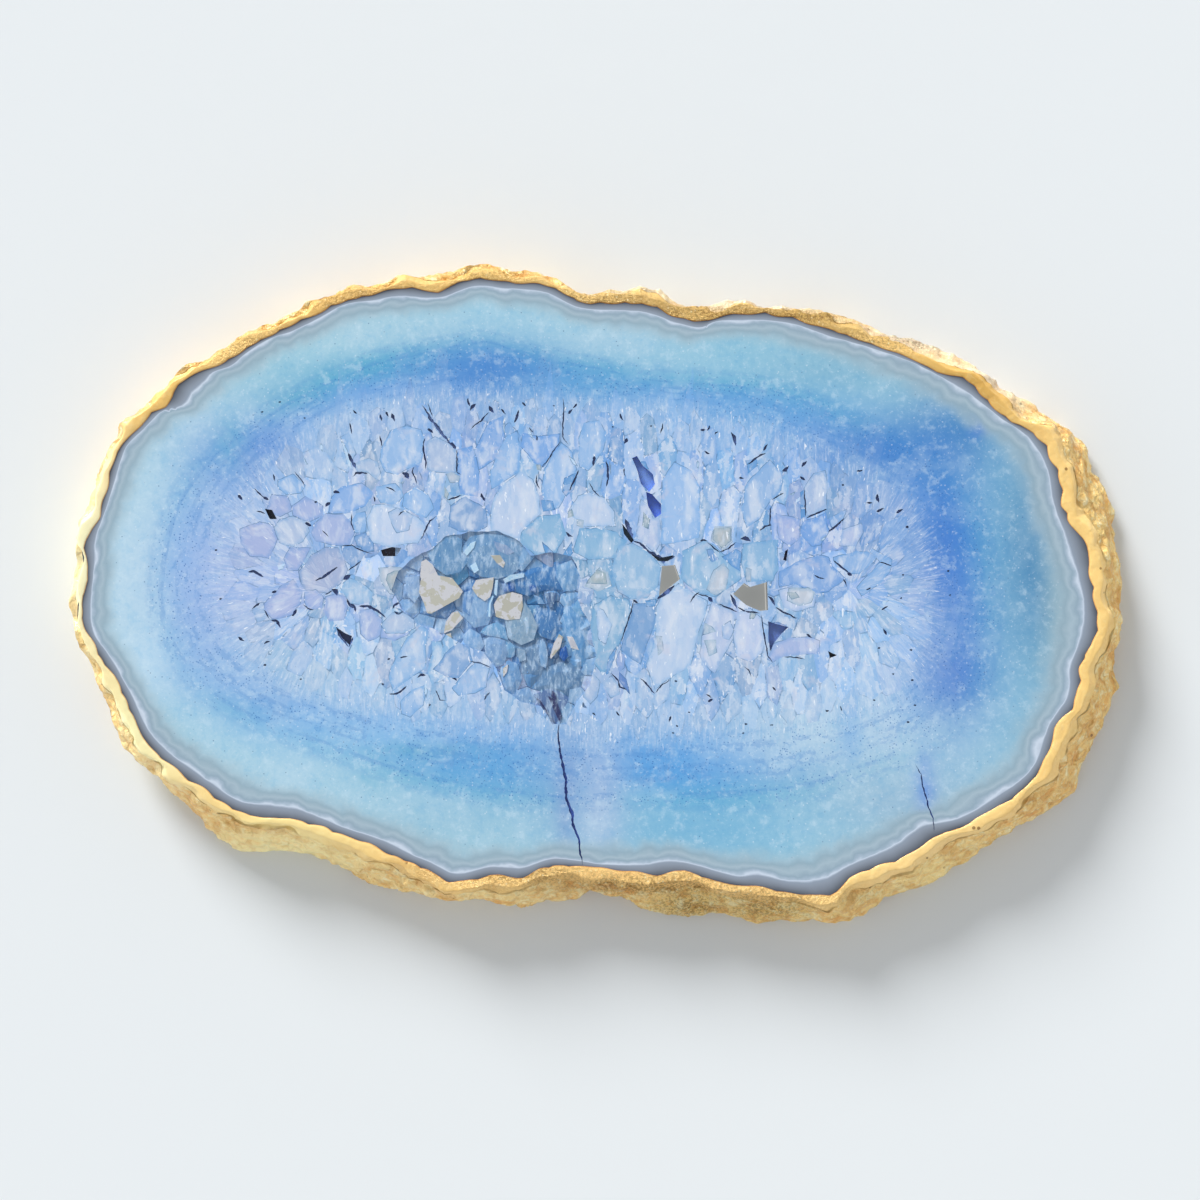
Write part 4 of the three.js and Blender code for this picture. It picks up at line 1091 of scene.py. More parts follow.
# Crystals that read one by one inside the hollow: tone, top height, rise of the peak, outline.
HOLLOW_CRYSTALS = [
    ("slate", 12.9, 0.15, [(422, 540), (434, 533), (450, 533), (462, 540), (462, 552), (468, 562),
        (460, 572), (446, 575), (436, 568), (428, 556)]),
    ("slate", 12.95, 0.3, [(462, 548), (470, 537), (485, 533), (503, 535), (518, 542), (525, 553),
        (522, 566), (512, 575), (498, 579), (482, 577), (470, 570), (463, 560)]),
    ("ice", 12.97, 0, [(464, 552), (471, 543), (476, 541), (474, 548), (467, 556)]),
    ("ice", 12.97, 0, [(470, 566), (476, 562), (479, 570), (474, 573)]),
    ("lilac", 12.97, 0, [(494, 541), (506, 545), (514, 552), (508, 555), (497, 550)]),
    ("window", 12.98, 0, [(491, 555), (500, 555), (505, 563), (503, 568), (497, 563)]),
    ("deep", 12.6, 0.4, [(503, 585), (506, 578), (520, 572), (540, 562), (558, 562), (572, 575),
        (562, 590), (545, 590), (528, 596), (514, 591)]),
    ("pale", 12.8, 0.2, [(556, 566), (572, 560), (580, 574), (576, 590), (564, 592), (556, 578)]),
    ("navy", 12.7, 0.1, [(502, 584), (513, 583), (515, 591), (504, 592)]),
    ("navy", 12.75, 0, [(529, 584), (537, 586), (535, 592), (530, 590)]),
    ("ice", 12.95, 0, [(503, 579), (511, 575), (524, 573), (524, 577), (513, 580), (505, 583)]),
    ("ice", 12.9, 0, [(495, 580), (498, 580), (497, 596), (494, 594)]),
    ("mist", 12.8, 0.3, [(462, 594), (476, 588), (492, 598), (494, 612), (488, 625), (474, 628),
        (463, 616)]),
    ("deep", 12.85, 0.1, [(464, 592), (472, 590), (474, 600), (470, 616), (463, 610)]),
    ("ice", 12.95, 0, [(494, 596), (491, 604), (490, 617), (488, 616), (489, 603), (492, 596)]),
    ("window", 12.97, 0, [(419, 592), (421, 578), (437, 575), (452, 578), (463, 591), (459, 598),
        (440, 609), (431, 614), (427, 613), (424, 603)]),
    ("veil", 12.93, 0, [(421, 562), (426, 559), (433, 565), (438, 575), (428, 578), (420, 578)]),
    ("window", 12.97, 0, [(472, 588), (476, 580), (494, 577), (493, 587), (490, 597), (485, 601),
        (477, 596)]),
    ("window", 12.97, 0, [(494, 605), (499, 596), (512, 592), (522, 595), (523, 606), (520, 619),
        (507, 620), (496, 617)]),
    ("fog", 12.9, 0.2, [(505, 618), (522, 612), (524, 600), (531, 612), (538, 626), (534, 640),
        (522, 645), (508, 638)]),
    ("teal", 12.85, 0.1, [(480, 632), (486, 626), (497, 622), (505, 626), (508, 640), (498, 637),
        (485, 635)]),
    ("window", 12.95, 0, [(458, 611), (463, 618), (452, 630), (444, 633), (446, 622), (452, 613)]),
    ("window", 12.95, 0, [(441, 636), (451, 633), (452, 640), (446, 651), (436, 651), (440, 644)]),
    ("slate", 12.85, 0.3, [(483, 640), (492, 635), (505, 640), (508, 652), (504, 664), (494, 668),
        (486, 658)]),
    ("steel", 12.8, 0.4, [(500, 668), (507, 660), (518, 664), (522, 680), (515, 694), (505, 696),
        (500, 686)]),
    ("window", 12.95, 0, [(503, 668), (508, 664), (507, 672), (503, 677)]),
    ("murk", 12.4, 0.5, [(508, 640), (530, 640), (545, 636), (548, 655), (545, 680), (533, 688),
        (521, 676), (516, 655)]),
    ("fog", 12.7, 0, [(517, 648), (525, 650), (526, 660), (519, 662)]),
    ("pale", 12.75, 0.1, [(540, 640), (545, 642), (548, 655), (546, 668), (541, 666), (539, 652)]),
    ("window", 12.95, 0, [(559, 634), (563, 637), (560, 648), (551, 659), (550, 657), (554, 643)]),
    ("navy", 12.8, 0.1, [(560, 648), (566, 646), (568, 656), (564, 661), (559, 656)]),
    ("murk", 12.6, 0.5, [(545, 668), (560, 662), (576, 664), (586, 676), (582, 692), (566, 699),
        (548, 696), (534, 688)]),
    ("veil", 12.8, 0.1, [(567, 636), (573, 637), (579, 650), (571, 648)]),
    ("steel", 12.7, 0.5, [(565, 600), (580, 600), (590, 620), (592, 645), (586, 668), (574, 664),
        (567, 645), (562, 622)]),
    ("deep", 12.6, 0.3, [(536, 606), (556, 610), (562, 628), (552, 640), (540, 636), (534, 622)]),
    ("mottled", 12.9, 0.1, [(545, 594), (550, 592), (557, 593), (553, 607), (549, 607)]),
    ("pale", 12.85, 0, [(533, 594), (541, 598), (545, 604), (538, 604)]),
    ("mist", 12.8, 0.2, [(516, 690), (530, 690), (537, 700), (530, 712), (519, 713), (514, 702)]),
    ("steel", 12.85, 0.2, [(505, 697), (515, 697), (518, 706), (513, 709), (507, 705)]),
    ("pale", 12.9, 0.2, [(486, 672), (492, 668), (500, 674), (500, 686), (490, 690), (486, 682)]),
    ("mist", 12.9, 0.1, [(405, 577), (419, 576), (420, 594), (415, 603), (407, 596)]),
    ("pale", 12.9, 0.2, [(470, 628), (480, 634), (484, 645), (478, 655), (466, 650), (462, 636)]),
    ("ink", 12.9, 0, [(534, 696), (540, 700), (548, 712), (556, 724), (551, 718), (543, 707)]),
    ("ink", 12.9, 0, [(548, 696), (556, 700), (562, 716), (560, 722), (553, 708)]),
    ("ink", 12.9, 0, [(552, 690), (556, 694), (556, 700), (551, 696)]),
    ("dusk", 12.6, 0.1, [(534, 694), (552, 688), (570, 698), (570, 716), (562, 726), (554, 724),
        (543, 710)]),
]
CRUST_TONES = {
    "window": (177, 177, 167), "veil": (186, 190, 202), "grey": (140, 172, 206),
    "slate": (112, 152, 194), "steel": (100, 152, 202), "mist": (130, 168, 206),
    "mottled": (84, 90, 112), "lilac": (166, 178, 210), "deep": (70, 124, 182), "teal": (90, 154, 198),
    "ice": (188, 220, 240), "pale": (138, 178, 218), "navy": (44, 98, 174), "fog": (148, 174, 198),
    "murk": (96, 130, 166), "ink": (56, 62, 104), "dusk": (96, 122, 168),
}


def traced_crystal(outline, top, rise):
    """A crystal with a traced outline: straight sides, a bevelled rim and a low peak."""
    ring = wobble(place(outline), 1.5, 0.15)
    middle = ring.mean(0)
    levels = [(ring * 1.04 - middle * 0.04, CRYSTAL_BASE)]
    if rise:
        levels += [(ring, top - rise), (middle + (ring - middle) * 0.5, top)]
    else:
        levels += [(ring, top)]
    corners = [(*p, z) for shape, z in levels for p in shape]
    n = len(ring)
    faces = [tuple(range(n))[::-1], tuple(range(len(corners) - n, len(corners)))]
    for k in range(len(levels) - 1):
        for i in range(n):
            j = (i + 1) % n
            faces.append((k * n + i, k * n + j, (k + 1) * n + j, (k + 1) * n + i))
    if area(ring) < 0:
        faces = [face[::-1] for face in faces]
    return corners, faces


# The least distance between the seeds of the hollow's crystals.
HOLLOW_GAP = 3.3


def hollow_cells(hollow, random):
    """Outlines of the crystals that pave the hollow, grown round scattered seeds."""
    low, high = hollow.min(0), hollow.max(0)
    seeds = np.zeros((0, 2))
    for spot in random.uniform(low, high, (4000, 2)):
        alone = not len(seeds) or np.hypot(*(seeds - spot).T).min() > HOLLOW_GAP
        if alone and inside(spot[None], hollow)[0]:
            seeds = np.vstack((seeds, spot))
    return [(seed + (grown_cell(seed, seeds, 4.5, 15) - seed) * 0.97, seed) for seed in seeds]


def peak(outline, top, rise):
    """A crystal that fills its outline and ends in a low point, a little off its middle."""
    middle = outline.mean(0) + (outline[0] - outline.mean(0)) * 0.25
    n = len(outline)
    corners = [(*p, z) for z in (CRYSTAL_BASE, top - rise) for p in outline] + [(*middle, top)]
    faces = [tuple(range(n))[::-1]]
    for i in range(n):
        j = (i + 1) % n
        faces.append((i, j, n + j, n + i))
        faces.append((n + i, n + j, 2 * n))
    return corners, faces


# Washes of colour over the crystals in the hollow, as on the stone.
HOLLOW_WASHES = [
    ((414, 562), (22, 40), (170, 190, 226), 0.95), ((440, 548), (24, 14), (112, 160, 196), 0.9),
    ((500, 556), (30, 18), (116, 156, 190), 0.9), ((560, 575), (26, 22), (74, 132, 184), 0.9),
    ((545, 610), (30, 24), (62, 124, 184), 0.95), ((588, 600), (16, 40), (130, 184, 220), 0.9),
    ((466, 620), (26, 24), (158, 188, 224), 0.9), ((490, 662), (26, 30), (152, 184, 224), 0.9),
    ((525, 625), (14, 20), (150, 178, 200), 0.9), ((550, 680), (26, 20), (104, 136, 170), 0.9),
    ((575, 650), (16, 30), (112, 160, 204), 0.9), ((520, 700), (16, 16), (118, 152, 196), 0.9),
]


# Tones of the crystals in the middle of the hollow and near its wall.
DEEP_TONES = ("deep", "steel", "slate", "teal", "steel")
SHALLOW_TONES = ("pale", "mist", "pale", "grey", "lilac")
# Tones that look the same wherever they lie, and those of crystals that were sawn through.
FIXED_TONES = ("window", "veil", "ice", "ink", "navy")
SAWN_TONES = ("window", "veil")
# Crystals nearer the hollow's wall than this are pale.
NEAR_WALL = 4
# The loose quartz points between the others: how many, and how long.
LOOSE_POINTS, POINT_LENGTH = 36, 6.0


def build_crust(material):
    """The crystals of the hollow: the traced ones, those between them, and loose quartz points."""
    random = np.random.default_rng(RANDOM_SEED + 1)
    hollow = place(HOLLOW)
    parts = [(*traced_crystal(outline, top, rise), tone) for tone, top, rise, outline in HOLLOW_CRYSTALS]
    low, high = hollow.min(0), hollow.max(0)
    for outline, middle in hollow_cells(hollow, random):
        near_wall = distance_to(hollow, middle[None])[0]
        top = 12.97 - 0.07 * near_wall - random.uniform(0, 0.35)
        tones = SHALLOW_TONES if near_wall < NEAR_WALL else DEEP_TONES
        parts.append((*peak(outline, top, random.uniform(0.15, 0.8)), tones[random.integers(len(tones))]))
    placed = 0
    while placed < LOOSE_POINTS:
        spot = random.uniform(low, high)
        width, lean = random.uniform(1.0, 2.0), random.normal(0, 0.3, 2)
        tone = DEEP_TONES[random.integers(len(DEEP_TONES))]
        if not inside(spot[None], hollow)[0]:
            continue
        tip = random.uniform(11.6, 12.8)
        base = (*spot, tip - POINT_LENGTH)
        parts.append((*hexagon_crystal(base, (*lean, 1.0), width, POINT_LENGTH), tone))
        placed += 1
    vertices, faces, tints = [], [], []
    for corners, sides, tone in parts:
        start = len(vertices)
        vertices += list(corners)
        faces += [tuple(start + i for i in side) for side in sides]
        colour = linear(CRUST_TONES[tone]) * (1 + 0.05 * random.normal())
        if tone not in FIXED_TONES:
            spot = np.mean(corners, 0)[None, :2]
            colour = colour * 0.5 + washed(spot, colour[None], HOLLOW_WASHES)[0] * 0.5
        tints += [(*colour, 0.0 if tone in SAWN_TONES else 1.0)] * len(sides)
    crust = make_object("hollow_crystals", vertices, faces, material)
    store(crust.data, "tint", "FLOAT_COLOR", "FACE", tints)
    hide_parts("quartz_crust")
    return crust


class Nodes:
    """A node tree under construction: short names for the nodes the looks are made from."""

    def __init__(self, tree):
        self.nodes, self.links = tree.nodes, tree.links

    def feed(self, socket, value):
        """A link where the value is a node's output, and otherwise a fixed value."""
        if isinstance(value, bpy.types.NodeSocket):
            self.links.new(value, socket)
        elif hasattr(socket.default_value, "__len__") and not hasattr(value, "__len__"):
            socket.default_value = (value,) * len(socket.default_value)
        elif hasattr(value, "__len__") and len(socket.default_value) == 4 and len(value) == 3:
            socket.default_value = (*value, 1.0)
        else:
            socket.default_value = value

    def make(self, kind, inputs, **settings):
        node = self.nodes.new("ShaderNode" + kind)
        for name, value in settings.items():
            setattr(node, name, value)
        for key, value in inputs.items():
            self.feed(node.inputs[key], value)
        return node

    def math(self, operation, *values):
        return self.make("Math", dict(enumerate(values)), operation=operation).outputs[0]

    def times(self, a, b):
        return self.math("MULTIPLY", a, b)

    def times_plus(self, a, b, c):
        return self.math("MULTIPLY_ADD", a, b, c)

    def minus(self, a, b):
        return self.math("SUBTRACT", a, b)

    def apart(self, a, b):
        return self.math("ABSOLUTE", self.minus(a, b))

    def map(self, value, low, high, start=0.0, end=1.0):
        """The value from low to high, taken softly to the range from start to end."""
        given = {"Value": value, "From Min": low, "From Max": high, "To Min": start, "To Max": end}
        return self.make("MapRange", given, interpolation_type="SMOOTHSTEP").outputs[0]

    def mix(self, share, a, b, kind="MIX"):
        return self.make("Mix", {0: share, 6: a, 7: b}, data_type="RGBA", blend_type=kind).outputs[2]

    def deepen(self, share, colour, by):
        """A share of the colour, seen through a filter that lets so much red, green and blue through."""
        return self.mix(share, colour, by, "MULTIPLY")

    def scaled(self, vector, by, shift=(0, 0, 0)):
        return self.make("VectorMath", {0: vector, 1: by, 2: shift}, operation="MULTIPLY_ADD").outputs[0]

    def noise(self, vector, scale, detail=2.0, rough=0.5, distortion=0.0, output="Fac"):
        given = {"Vector": vector, "Scale": scale, "Detail": detail, "Roughness": rough,
                 "Distortion": distortion}
        return self.make("TexNoise", given).outputs[output]

    def cells(self, vector, scale, output="Distance"):
        return self.make("TexVoronoi", {"Vector": vector, "Scale": scale}).outputs[output]

    def spots(self, vector, scale, core, edge):
        """Scattered round spots: 1 within the core of each and 0 beyond its edge."""
        return self.map(self.cells(vector, scale), core, edge, 1.0, 0.0)

    def ramp(self, value, stops):
        node = self.make("ValToRGB", {0: value})
        elements = node.color_ramp.elements
        while len(elements) < len(stops):
            elements.new(0.5)
        for element, (position, colour) in zip(elements, stops):
            element.position = position
            element.color = (*colour, 1.0)
        return node.outputs[0]

    def split(self, vector):
        return self.make("SeparateXYZ", {0: vector}).outputs

    def join(self, x, y, z):
        return self.make("CombineXYZ", {0: x, 1: y, 2: z}).outputs[0]


class Shade(Nodes):
    """A material under construction."""

    def __init__(self, name):
        self.material = bpy.data.materials.new(name)
        self.material.use_nodes = True
        super().__init__(self.material.node_tree)
        self.shader = self.nodes["Principled BSDF"]

    def attribute(self, name, output="Fac"):
        return self.make("Attribute", {}, attribute_name=name).outputs[output]

    def spot(self):
        """The place on the piece, in millimetres."""
        return self.scaled(self.make("TexCoord", {}).outputs["Object"], (1 / METRE,) * 3)

    def bump(self, height, strength, distance=0.0003):
        node = self.make("Bump", {"Height": height, "Strength": strength, "Distance": distance})
        self.links.new(node.outputs[0], self.shader.inputs["Normal"])

    def glow(self, colour, strength):
        self.feed(self.shader.inputs["Emission Color"], colour)
        self.feed(self.shader.inputs["Emission Strength"], strength)

    def finish(self, colour, roughness, **fixed):
        self.feed(self.shader.inputs["Base Color"], colour)
        self.feed(self.shader.inputs["Roughness"], roughness)
        for name, value in fixed.items():
            self.feed(self.shader.inputs[name.replace("_", " ")], value)
        return self.material


# Colours from the cut edge, at 0, over the white line, at 1, to the agate just inside it. The dark grey next
# to the cut edge is partly the stone's dark rind and partly painted shadow of the gilded lip.
EDGE_STOPS = [
    (0.00, (74, 80, 90)), (0.15, (94, 101, 112)), (0.40, (120, 129, 142)), (0.68, (138, 149, 164)),
    (0.86, (144, 157, 174)), (0.94, (176, 190, 208)), (0.99, (202, 215, 231)), (1.025, (166, 185, 203)),
    (1.06, (146, 169, 186)), (1.11, (164, 186, 200)), (1.17, (146, 171, 186)), (1.25, (162, 186, 199)),
    (1.40, (160, 190, 204)),
]
EDGE_SPAN = 1.4
# A painted glow on the walls of the through holes, standing in for light through the translucent stone and
# the floor seen through them, and its colour.
HOLE_GLOW = 0.36
HOLE_LIGHT = (1.0, 0.96, 0.88)
# The same painted glow, for the crystals in the hollow.
INNER_GLOW = 0.10
QUARTZ_IOR = 1.54
# How the crystals' own map is drawn out, so that streaks run from the middle of the slice outwards.
FIBRE, CHIP, GLASS = (1.0, 1.0, 0.2), (1.0, 1.0, 0.45), (1.0, 1.0, 0.3)
# Where the second scatter of spots lies, so that it is another scatter than the first.
OTHER_SCATTER = (40.0, 0.0, 0.0)


def agate_colour(look, spot, band, flow, clouds):
    """The banded agate: grey and white at the edge, the grey partly painted shadow of the gilded lip, then
    clouds, streaks, strata and small stains.
    """
    drifts = look.noise(spot, 0.42, 4, 0.62, 0.2)
    grain = look.noise(spot, 1.5, 3, 0.6)
    body = look.mix(look.map(clouds, 0.46, 0.75, 0.0, 0.24), look.attribute("ground", "Color"),
                    paint(192, 218, 234))
    body = look.deepen(look.map(clouds, 0.46, 0.25, 0.0, 0.30), body, (0.74, 0.90, 0.98))
    body = look.deepen(look.map(drifts, 0.50, 0.70, 0.0, 0.45), body, (0.68, 0.86, 0.96))
    body = look.mix(look.map(drifts, 0.48, 0.28, 0.0, 0.32), body, paint(206, 228, 242))
    body = look.deepen(look.map(grain, 0.48, 0.68, 0.0, 0.28), body, (0.70, 0.86, 0.96))
    body = look.mix(look.map(grain, 0.42, 0.28, 0.0, 0.26), body, paint(212, 230, 244))
    fibres = look.noise(look.scaled(flow, FIBRE), 1.5, 4, 0.7)
    in_crystals = look.map(band, 2.5, 2.95)
    body = look.mix(look.times(look.map(fibres, 0.48, 0.70, 0.0, 0.55), in_crystals), body,
                    paint(214, 228, 244))
    body = look.deepen(look.times(look.map(fibres, 0.50, 0.34, 0.0, 0.5), in_crystals), body,
                       (0.64, 0.84, 0.96))
    patch = look.noise(spot, 0.4, 3, 0.6)
    speckled = look.times(look.map(band, 1.7, 2.0), look.map(band, 2.6, 3.1, 1.0, 0.0))
    dots = look.times(look.spots(spot, 1.4, 0.14, 0.30), look.map(patch, 0.44, 0.58))
    body = look.mix(look.times(dots, look.times(speckled, 0.8)), body, paint(48, 106, 178))
    folded = look.join(look.times(band, 9.0), look.times(drifts, 5.0), look.times(clouds, 4.0))
    strata = look.map(look.noise(folded, 1.0, 2), 0.52, 0.66, 0.0, 0.32)
    body = look.mix(look.times(strata, speckled), body, paint(62, 130, 200))
    seeds = look.times(look.spots(spot, 0.55, 0.05, 0.11), look.map(patch, 0.40, 0.5))
    body = look.mix(look.times(seeds, 0.65), body, paint(70, 100, 150))
    elsewhere = look.scaled(spot, (1.0, 1.0, 1.0), OTHER_SCATTER)
    pale = look.times(look.spots(elsewhere, 0.7, 0.07, 0.18), look.map(patch, 0.56, 0.44))
    body = look.mix(look.times(pale, 0.35), body, paint(226, 238, 248))
    sway = look.minus(look.noise(spot, 0.35, 3), 0.5)
    scallop = look.apart(look.noise(spot, 0.16, 0), 0.5)
    level = look.times_plus(sway, 0.10, look.math("ADD", band, 0.02))
    level = look.times_plus(scallop, -0.2, level)
    # The ramp's dark grey by the cut edge is partly painted shadow of the gilded lip.
    stops = [(at / EDGE_SPAN, paint(*colour)) for at, colour in EDGE_STOPS]
    edge = look.ramp(look.times(level, 1 / EDGE_SPAN), stops)
    return look.mix(look.map(level, 1.10, 1.42), edge, body)


def cut_crystal_colour(look, spot, band, flow, facet, seam, plain):
    """The inside of the cut crystals: a rim, milky and glassy places, chips and a warm tinge."""
    drawn = look.join(look.times(facet[0], 1.3), look.times(facet[1], 2.6), look.times(facet[2], 50.0))
    inner = look.noise(drawn, 1.0, 3, 0.55, 0.4)
    ragged = look.times_plus(look.minus(look.noise(spot, 0.9, 3, 0.6), 0.5), 0.6, seam)
    rimmed = look.times_plus(look.map(facet[2], 0.3, 1.0), 0.55, 0.05)
    crystal = look.deepen(look.times(look.map(ragged, 0.0, 0.5, 1.0, 0.0), rimmed),
                          look.attribute("tint", "Color"), (0.50, 0.76, 0.93))
    milky = look.times(look.map(inner, 0.46, 0.68), look.map(ragged, 0.05, 0.4))
    crystal = look.mix(look.times(milky, 0.6), crystal, paint(220, 227, 238))
    crystal = look.deepen(look.map(facet[0], -0.2, 0.9, 0.0, 0.25), crystal, (0.78, 0.90, 0.99))
    bent = look.scaled(look.noise(spot, 0.9, 3, 0.6, output="Color"), (1.6, 1.6, 1.6),
                       look.scaled(flow, CHIP))
    chip = look.split(look.cells(bent, 0.75, output="Color"))
    chipped = look.times(look.map(band, 2.7, 3.0), plain)
    crystal = look.deepen(look.times(look.map(chip[0], 0.55, 1.0, 0.0, 0.7), chipped), crystal,
                          (0.60, 0.80, 0.94))
    crystal = look.mix(look.times(look.map(chip[1], 0.6, 1.0, 0.0, 0.6), chipped), crystal,
                       paint(222, 230, 242))
    glassy = look.noise(look.scaled(flow, GLASS), 1.2, 5, 0.75, 0.3)
    crystal = look.deepen(look.times(look.map(glassy, 0.50, 0.34, 0.0, 0.6), plain), crystal,
                          (0.62, 0.82, 0.95))
    crystal = look.mix(look.times(look.map(glassy, 0.56, 0.72, 0.0, 0.4), plain), crystal,
                       paint(222, 232, 246))
    warm = look.noise(spot, 0.22, 3, 0.6, 0.5)
    return look.mix(look.map(warm, 0.56, 0.74, 0.0, 0.45), crystal, paint(206, 206, 222))


def outlined(look, body, spot, band, flow, seam, plain, cover):
    """The body colour with broken dark lines between the crystals, glints beside them and flashes."""
    broken = look.times_plus(plain, -0.12, look.noise(spot, 0.4, 3))
    line = look.times(look.map(seam, 0.02, 0.09, 1.0, 0.0), look.map(broken, 0.34, 0.52))
    body = look.mix(look.times(look.times(line, cover), 0.75), body, paint(72, 110, 150))
    places = look.map(look.noise(spot, 0.8, 2, 0.5, 0.5), 0.62, 0.70)
    glint = look.times(look.map(seam, 0.06, 0.16, 1.0, 0.0), places)
    body = look.mix(look.times(look.times(glint, cover), 0.8), body, paint(232, 240, 250))
    flash = look.noise(look.scaled(flow, GLASS), 1.7, 2, 0.5, 0.4)
    flash = look.times(look.map(flash, 0.68, 0.74), look.map(band, 2.55, 2.9))
    return look.mix(look.times(flash, 0.85), body, paint(238, 244, 252))


def stone_look():
    look = Shade("cut_stone")
    spot = look.spot()
    band, flow = look.attribute("band"), look.attribute("flow", "Vector")
    cover, seam = look.attribute("tint", "Alpha"), look.attribute("seam")
    facet = look.split(look.attribute("facet", "Vector"))
    clouds = look.noise(spot, 0.12, 4, 0.6, 0.3)
    # The crystals with traced outlines are plainer than the small ones between them.
    plain = look.map(facet[2], 0.99, 1.01, 1.0, 0.4)
    body = agate_colour(look, spot, band, flow, clouds)
    body = look.mix(cover, body, cut_crystal_colour(look, spot, band, flow, facet, seam, plain))
    body = outlined(look, body, spot, band, flow, seam, plain, cover)
    # The walls and floors of the openings.
    shade = look.attribute("shade", "Alpha")
    flecks = look.map(look.noise(spot, 2.2, 3, 0.6), 0.52, 0.68, 0.0, 0.45)
    wall = look.mix(flecks, look.attribute("shade", "Color"), paint(120, 156, 216))
    body = look.mix(look.map(shade, 0.0, 0.4), body, wall)
    # Painted glow on the walls of the through holes, strongest towards the underside.
    hole_wall = look.times(look.map(shade, 0.1, 0.45), look.map(shade, 0.55, 0.95, 1.0, 0.0))
    hole_wall = look.times(hole_wall, look.map(look.split(spot)[2], 2.0, 10.0, 1.0, 0.15))
    look.glow(HOLE_LIGHT, look.times(hole_wall, HOLE_GLOW))
    look.bump(look.noise(spot, 3.0, 2), 0.05)
    rough = look.mix(look.map(clouds, 0.3, 0.7), (0.16,) * 3, (0.26,) * 3)
    return look.finish(body, rough, IOR=QUARTZ_IOR, Specular_IOR_Level=0.5)


def gilding_look():
    look = Shade("gold_leaf")
    spot = look.spot()
    place_at = look.split(spot)
    down, strip = look.attribute("down"), look.attribute("strip")
    colour, granular = look.attribute("ground", "Color"), look.attribute("ground", "Alpha")
    # How much the folds' painted shade and painted highlights show: little on the lip, and less where the
    # leaf is pale.
    side = look.minus(1.0, look.times(strip, 0.85))
    side = look.times(side, look.map(look.split(colour)[2], 0.22, 0.42, 0.8, 0.42))
    drape = look.join(look.times(place_at[0], 0.17), look.times(place_at[1], 0.17), look.times(down, 0.30))
    waves = look.noise(drape, 1.1, 4, 0.6, 0.6)
    ripples = look.noise(drape, 2.8, 4, 0.6, 0.8)
    # Painted shade in the folds: the leaf darker along the waves, ripples and creases.
    leaf = look.deepen(look.times(look.map(waves, 0.50, 0.64, 0.0, 0.7), side), colour, (0.96, 0.76, 0.52))
    leaf = look.deepen(look.times(look.map(ripples, 0.52, 0.62, 0.0, 0.6), side), leaf, (0.88, 0.68, 0.46))
    crease = look.map(look.apart(ripples, 0.46), 0.0, 0.012, 0.6, 0.0)
    leaf = look.deepen(look.times(crease, side), leaf, (0.60, 0.40, 0.22))
    # Painted highlight where the ripples rise.
    leaf = look.mix(look.times(look.map(ripples, 0.46, 0.36, 0.0, 0.75), side), leaf, paint(255, 246, 200))
    grain = look.noise(spot, 1.7, 4, 0.7)
    # Darker grains where the leaf lies over sandy rock.
    dark_grains = look.times(look.map(grain, 0.48, 0.55), look.times(granular, 0.8))
    leaf = look.deepen(dark_grains, leaf, (0.40, 0.31, 0.18))
    sparkle = look.times(look.spots(spot, 0.8, 0.14, 0.24), granular)
    leaf = look.mix(look.times(sparkle, 0.8), leaf, paint(255, 244, 196))
    pits = look.times(look.spots(spot, 0.28, 0.09, 0.14), look.map(look.noise(spot, 0.12, 1), 0.54, 0.6))
    leaf = look.mix(look.times(pits, 0.8), leaf, paint(130, 88, 36))
    hem = look.times(look.map(down, 0.05, 0.35, 0.75, 0.0), strip)
    leaf = look.mix(hem, leaf, paint(206, 132, 52))
    bent = look.scaled(look.noise(spot, 0.25, 3, 0.6, output="Color"), (4.0, 4.0, 4.0), spot)
    crumple = look.times_plus(look.cells(bent, 0.62), 0.35, look.cells(bent, 0.26))
    # Painted shade in the hollows between the crumpled facets, and painted highlights on their crests.
    leaf = look.deepen(look.times(look.map(crumple, 0.70, 0.95, 0.0, 0.8), side), leaf, (0.74, 0.52, 0.30))
    crest = look.times(look.map(crumple, 0.45, 0.25, 0.0, 0.85), side)
    leaf = look.mix(crest, leaf, paint(255, 244, 196))
    height = look.times(look.times_plus(ripples, -0.35, look.times(crumple, -1.1)), side)
    look.bump(look.times_plus(grain, look.times_plus(granular, 0.9, 0.02), height), 0.9, 0.0016)
    rough = look.map(strip, 0.0, 1.0, 0.28, 0.38)
    return look.finish(leaf, rough, Metallic=look.times_plus(granular, 0.4, 0.1))


